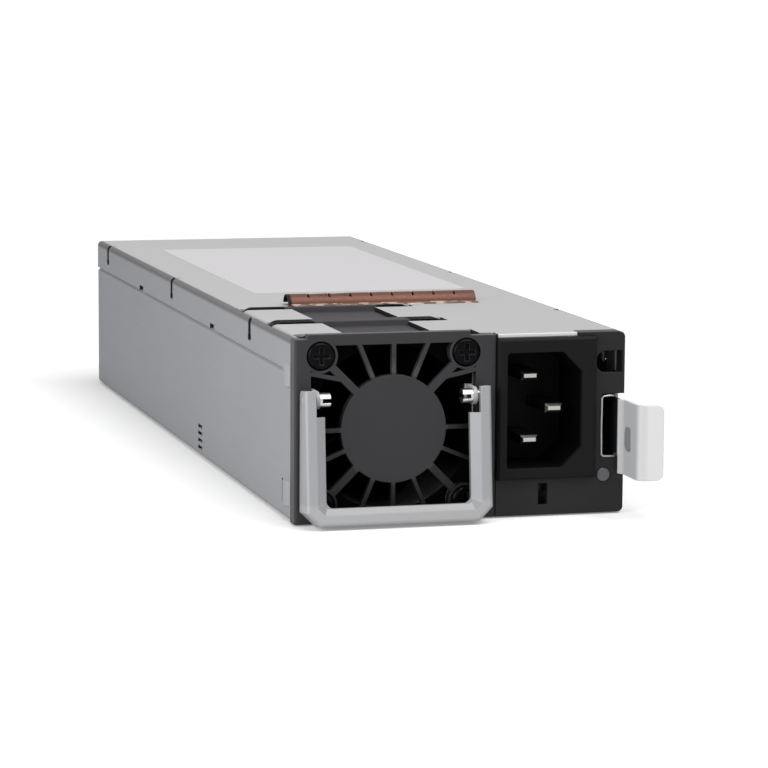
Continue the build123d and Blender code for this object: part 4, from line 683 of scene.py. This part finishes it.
# Painted shade and painted highlight: the pins are kept dark, as shade inside the socket, and their
# front-facing tips are bright, as the light that falls on them.
pin_plating = sheet_metal(
    "pin_plating", (0.10, 0.098, 0.092), 0.3, DRAWN, edge=1.2, zones=((LIT_PIN_TIPS, PIN_TIP_LIGHT_TONE),)
)
dress(pin_plating, "line_pin", "neutral_pin", "earth_pin")


# Latch: a leaf of spring strip inside the right wall, riveted at its rear end and bent to a thumb tab.
# The strip is pale steel, nearly white at its thumb tab where it stands out of its window, with painted
# shade on the part that lies back behind the panel; a grey grommet fills its slot, and a bare wire clip
# lies along the window's edge in the panel.
# Painted shade: the part of the leaf behind the panel is darkened, standing for the shade inside the wall.
LEAF_SHADE_TONE = (0.012, 0.012, 0.014)
TAB_TONE = (0.92, 0.92, 0.92)
SHADED_INNER_LEAF = (("Y", -115.9, -115.4),)
TAB_END = (("X", 36.9, 38.2),)
spring_strip = sheet_metal(
    "spring_strip",
    (0.74, 0.745, 0.755),
    0.5,
    DRAWN,
    metallic=0.15,
    edge=1.15,
    varies=0.04,
    gloss=0.3,
    zones=((TAB_END, TAB_TONE), (SHADED_INNER_LEAF, LEAF_SHADE_TONE)),
)
dress(spring_strip, "latch_leaf", "latch_rivets")
leaf_low, leaf_high = [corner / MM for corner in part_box("latch_leaf")]
SLOT_CENTRE = (-120.2, (leaf_low.z + leaf_high.z) / 2)
SLOT_HALF_W = 1.85
SLOT_HALF_H = 2.65
SLOT_CORNER = 0.9 * SLOT_HALF_W
GROMMET_X = (35.77, 36.73)
grommet_outline = rounded_outline(
    SLOT_CENTRE[0] - SLOT_HALF_W,
    SLOT_CENTRE[0] + SLOT_HALF_W,
    SLOT_CENTRE[1] - SLOT_HALF_H,
    SLOT_CENTRE[1] + SLOT_HALF_H,
    SLOT_CORNER,
)
grommet_rings = [np.column_stack([np.full(len(grommet_outline), x), grommet_outline]) for x in GROMMET_X]
grommet_rubber = moulded("grommet_rubber", (0.33, 0.33, 0.34), 0.6, edge=1.2, gloss=0.2)
put_mesh("latch_grommet", *stacked_rings(grommet_rings), grommet_rubber, "latch", "relay_black")


def wire_rings(path, radius, sides=10):
    """Round wire along a path of points: at each point a circle square to the path's mean direction."""
    path = np.asarray(path, float)
    heading = np.gradient(path, axis=0)
    heading /= np.linalg.norm(heading, axis=1)[:, None]
    turn = np.linspace(0.0, 2 * np.pi, sides, endpoint=False)
    rings = []
    for centre, ahead in zip(path, heading):
        side = np.array([0.0, 1.0, 0.0])
        across = np.cross(ahead, side)
        rings.append(centre + radius * (np.cos(turn)[:, None] * side + np.sin(turn)[:, None] * across))
    return rings


CLIP_Y = -115.0
CLIP_R = 0.2
CLIP_PATH = (
    (34.4, 25.5),
    (33.4, 25.6),
    (32.1, 25.45),
    (31.68, 25.0),
    (31.68, 23.0),
    (31.62, 18.5),
    (31.68, 15.0),
    (31.68, 12.75),
    (32.1, 12.35),
    (33.4, 12.3),
    (34.6, 12.3),
)
bare_wire = sheet_metal("bare_wire", (0.55, 0.545, 0.54), 0.35, EVEN, metallic=0.5, edge=1.1)
clip_rings = wire_rings([(x, CLIP_Y, z) for x, z in CLIP_PATH], CLIP_R)
put_mesh("window_clip", *stacked_rings(clip_rings), bare_wire, "case", "spring_steel", smooth=True)


# Main board: green laminate on posts over an insulating sheet, its tongue plated with gold contacts.
# The boards carry a solder mask with faint tracks beneath it.
ACROSS_TRACKS_SCALE = 110.0
ALONG_TRACKS_SCALE = 90.0
TRACK_PATCHES_PER_M = 120.0


def printed_board(name, mask):
    """Solder mask over tracks: straight bands both ways, cut up by coarse noise, show a little paler."""
    material, tree, shader = bare_material(name)
    place = add(tree, "TexCoord").outputs["Object"]
    across = add(
        tree,
        "TexWave",
        {"Vector": place, "Scale": ACROSS_TRACKS_SCALE, "Distortion": 0.0},
        bands_direction="X",
    ).outputs["Fac"]
    along = add(
        tree,
        "TexWave",
        {"Vector": place, "Scale": ALONG_TRACKS_SCALE, "Distortion": 0.0},
        bands_direction="Y",
    ).outputs["Fac"]
    patch = add(tree, "TexVoronoi", {"Vector": place, "Scale": TRACK_PATCHES_PER_M}).outputs["Color"]
    choose = add(tree, "Math", {0: patch, 1: 0.5}, operation="GREATER_THAN").outputs[0]
    run = add(tree, "Mix", {0: choose, 2: across, 3: along}).outputs[0]
    track = add(tree, "MapRange", {0: run, 1: 0.45, 2: 0.6, 3: 0.0, 4: 1.0}).outputs[0]
    surface = blend(tree, track, shade(mask, 0.8), shade(mask, 1.5))
    tree.links.new(surface, shader.inputs["Base Color"])
    rough = add(tree, "MapRange", {0: track, 1: 0.0, 2: 1.0, 3: 0.38, 4: 0.3})
    tree.links.new(rough.outputs[0], shader.inputs["Roughness"])
    bump = add(tree, "Bump", {"Strength": 0.4, "Distance": 0.03 * MM, "Height": track})
    tree.links.new(bump.outputs["Normal"], shader.inputs["Normal"])
    return material


green_board = printed_board("green_board", (0.022, 0.115, 0.05))
dress(green_board, "main_board", "control_board", "fan_motor_boards")
gold_plating = sheet_metal("gold_plating", (0.74, 0.52, 0.2), 0.26, ALONG, edge=1.1)
dress(gold_plating, "edge_contacts")
insulating_film = moulded("insulating_film", (0.68, 0.66, 0.58), 0.4, grain_mm=1.2, edge=1.05)
dress(insulating_film, "insulator_sheet")


# Line filter behind the inlet: fuse, surge disc, two ring chokes, a film capacitor, a relay and the fan's
# plug. Ceramic, dipped and moulded cases; enamelled copper on coated ring cores.
glazed_ceramic = moulded("glazed_ceramic", (0.70, 0.68, 0.62), 0.2, grain_mm=0.8, edge=1.05, coat=0.3)
dress(glazed_ceramic, "line_fuse")
dipped_blue = moulded("dipped_blue", (0.03, 0.11, 0.36), 0.25, grain_mm=0.8, edge=1.2, coat=0.3)
dress(dipped_blue, "surge_disc")
coated_core = moulded("coated_core", (0.06, 0.17, 0.1), 0.35, grain_mm=0.5, edge=1.2)
dress(coated_core, "line_choke_core", "filter_choke_core", "boost_choke_core")
choke_wire = wound_wire("choke_wire", (0.56, 0.24, 0.1), 1.1, "X")
dress(choke_wire, "line_choke_windings", "filter_choke_windings", "boost_choke_windings")
film_case = moulded("film_case", (0.64, 0.46, 0.07), 0.35, grain_mm=0.6, edge=1.1)
dress(film_case, "x_capacitor")
black_case = moulded("black_case", (0.022, 0.022, 0.025), 0.4)
dress(black_case, "inrush_relay", "power_transistors", "bridge_rectifier")
plug_white = moulded("plug_white", (0.68, 0.67, 0.62), 0.4, edge=1.05)
dress(plug_white, "fan_connector")
lead_sleeve = wound_wire("lead_sleeve", (0.03, 0.03, 0.03), 0.5, "Y", roughness=0.6)
dress(lead_sleeve, "fan_lead")


# Power stages: bulk capacitor, heat sinks, transformers, output capacitors and bus bars.
# Shrink sleeve over aluminium cans, extruded aluminium fins, ferrite halves round taped windings, and
# tinned copper bars.
shrink_sleeve = moulded("shrink_sleeve", (0.022, 0.036, 0.09), 0.22, grain_mm=1.5, edge=1.2, coat=0.3)
dress(shrink_sleeve, "bulk_capacitor", "output_capacitors")
extruded_fins = sheet_metal("extruded_fins", (0.62, 0.63, 0.65), 0.36, ALONG)
dress(extruded_fins, "primary_heatsink", "rectifier_heatsink")
fired_ferrite = moulded("fired_ferrite", (0.06, 0.06, 0.065), 0.55, grain_mm=0.25, depth=0.06)
dress(fired_ferrite, "transformer_core")
taped_winding = moulded("taped_winding", (0.66, 0.5, 0.08), 0.3, grain_mm=1.5, edge=1.1)
dress(taped_winding, "transformer_windings", "standby_transformer")
tinned_copper = sheet_metal("tinned_copper", (0.62, 0.61, 0.58), 0.35, ALONG)
dress(tinned_copper, "bus_bars")


# Studio: a pale floor that fills the view, a wide soft lamp overhead, a small one at the left, an even
# white surround and the camera. Floor and surround light the object at a plain level, and are white to the
# lens.
FLOOR_DROP = 0.3
FLOOR_REACH = 6.0
FLOOR_BOUNCE = 0.4
FLOOR_GLOW = 0.2
SURROUND = 0.27
WHITE = (1.0, 1.0, 1.0)
PAPER_DARK = 0.93
PAPER_LIGHT = 0.95


def shown_share(tree):
    """1 where the lens sees the surface, straight, in a reflection or through glass, and 0 where it only
    gives light."""
    rays = add(tree, "LightPath").outputs
    seen = add(tree, "Math", {0: rays["Is Camera Ray"], 1: rays["Is Glossy Ray"]}, operation="MAXIMUM")
    through = {0: seen.outputs[0], 1: rays["Is Transmission Ray"]}
    return add(tree, "Math", through, operation="MAXIMUM").outputs[0]


floor_z = cad_low.z - FLOOR_DROP * MM
floor_mesh = bpy.data.meshes.new("studio_floor")
floor_signs = ((-1, -1), (1, -1), (1, 1), (-1, 1))
floor_corners = [(x * FLOOR_REACH, y * FLOOR_REACH, floor_z) for x, y in floor_signs]
floor_mesh.from_pydata(floor_corners, [], [(0, 1, 2, 3)])
floor = bpy.data.objects.new("studio_floor", floor_mesh)
bpy.context.scene.collection.objects.link(floor)
floor_finish, floor_tree, floor_shader = bare_material("studio_paper")
paper_place = add(floor_tree, "TexCoord").outputs["Object"]
paper_cloud = add(floor_tree, "TexNoise", {"Vector": paper_place, "Scale": 2.0}).outputs["Fac"]
paper_tone = blend(floor_tree, paper_cloud, shade(WHITE, PAPER_DARK), shade(WHITE, PAPER_LIGHT))
paper_shown = shown_share(floor_tree)
paper_colour = blend(floor_tree, paper_shown, shade(WHITE, FLOOR_BOUNCE), paper_tone)
floor_tree.links.new(paper_colour, floor_shader.inputs["Base Color"])
paper_glow = add(floor_tree, "Math", {0: paper_shown, 1: FLOOR_GLOW}, operation="MULTIPLY")
floor_shader.inputs["Emission Color"].default_value = shade(WHITE, 1.0)
floor_tree.links.new(paper_glow.outputs[0], floor_shader.inputs["Emission Strength"])
floor_shader.inputs["Roughness"].default_value = 0.9
floor_shader.inputs["Specular IOR Level"].default_value = 0.0
floor_mesh.materials.append(floor_finish)

world = bpy.data.worlds.new("studio_surround")
world.use_nodes = True
sky = world.node_tree
sky.nodes.clear()
level = add(sky, "MapRange", {0: shown_share(sky), 1: 0.0, 2: 1.0, 3: SURROUND, 4: 1.0})
surround = add(sky, "Background", {"Color": shade(WHITE, 1.0), "Strength": level.outputs[0]})
add(sky, "OutputWorld", {"Surface": surround.outputs[0]})
bpy.context.scene.world = world

LAMP_STRENGTH = 2.1
LAMP_SPREAD = 0.9
LAMP_FROM = Vector((0.2, -0.45, 1.0))
lamp_data = bpy.data.lights.new("overhead_lamp", "SUN")
lamp_data.energy = LAMP_STRENGTH
lamp_data.angle = LAMP_SPREAD
lamp = bpy.data.objects.new("overhead_lamp", lamp_data)
lamp.rotation_euler = LAMP_FROM.to_track_quat("Z", "Y").to_euler()
bpy.context.scene.collection.objects.link(lamp)

SIDE_POWER = 0.85
SIDE_SIZE = 0.25
SIDE_PLACE = Vector((-0.35, -0.30, 0.15))
SIDE_TARGET = Vector((0.0, -0.1, 0.02))
side_data = bpy.data.lights.new("side_lamp", "AREA")
side_data.energy = SIDE_POWER
side_data.size = SIDE_SIZE
side_lamp = bpy.data.objects.new("side_lamp", side_data)
side_turn = (SIDE_PLACE - SIDE_TARGET).to_track_quat("Z", "Y").to_matrix().to_4x4()
side_lamp.matrix_world = Matrix.Translation(SIDE_PLACE) @ side_turn
bpy.context.scene.collection.objects.link(side_lamp)

# The camera stands to the left of the face, a little above the lid, with a long lens.
CAMERA_PLACE = (-0.19715, -0.7676, 0.1227)
CAMERA_YAW = np.radians(15.41)
CAMERA_PITCH = np.radians(7.83)
CAMERA_ROLL = np.radians(-0.37)
CAMERA_LENS = 151.0
SENSOR_W = 36.0
NEAREST = 0.01
look = np.array(
    [
        np.sin(CAMERA_YAW) * np.cos(CAMERA_PITCH),
        np.cos(CAMERA_YAW) * np.cos(CAMERA_PITCH),
        -np.sin(CAMERA_PITCH),
    ]
)
level_right = np.array([np.cos(CAMERA_YAW), -np.sin(CAMERA_YAW), 0.0])
level_down = np.cross(look, level_right)
right = np.cos(CAMERA_ROLL) * level_right + np.sin(CAMERA_ROLL) * level_down
down = -np.sin(CAMERA_ROLL) * level_right + np.cos(CAMERA_ROLL) * level_down
camera_data = bpy.data.cameras.new("photo_camera")
camera_data.lens = CAMERA_LENS
camera_data.sensor_width = SENSOR_W
camera_data.clip_start = NEAREST
camera = bpy.data.objects.new("photo_camera", camera_data)
camera_turn = Matrix(np.column_stack([right, -down, -look])).to_4x4()
camera.matrix_world = Matrix.Translation(CAMERA_PLACE) @ camera_turn
bpy.context.scene.collection.objects.link(camera)
bpy.context.scene.camera = camera
bpy.context.scene.view_settings.view_transform = "Standard"
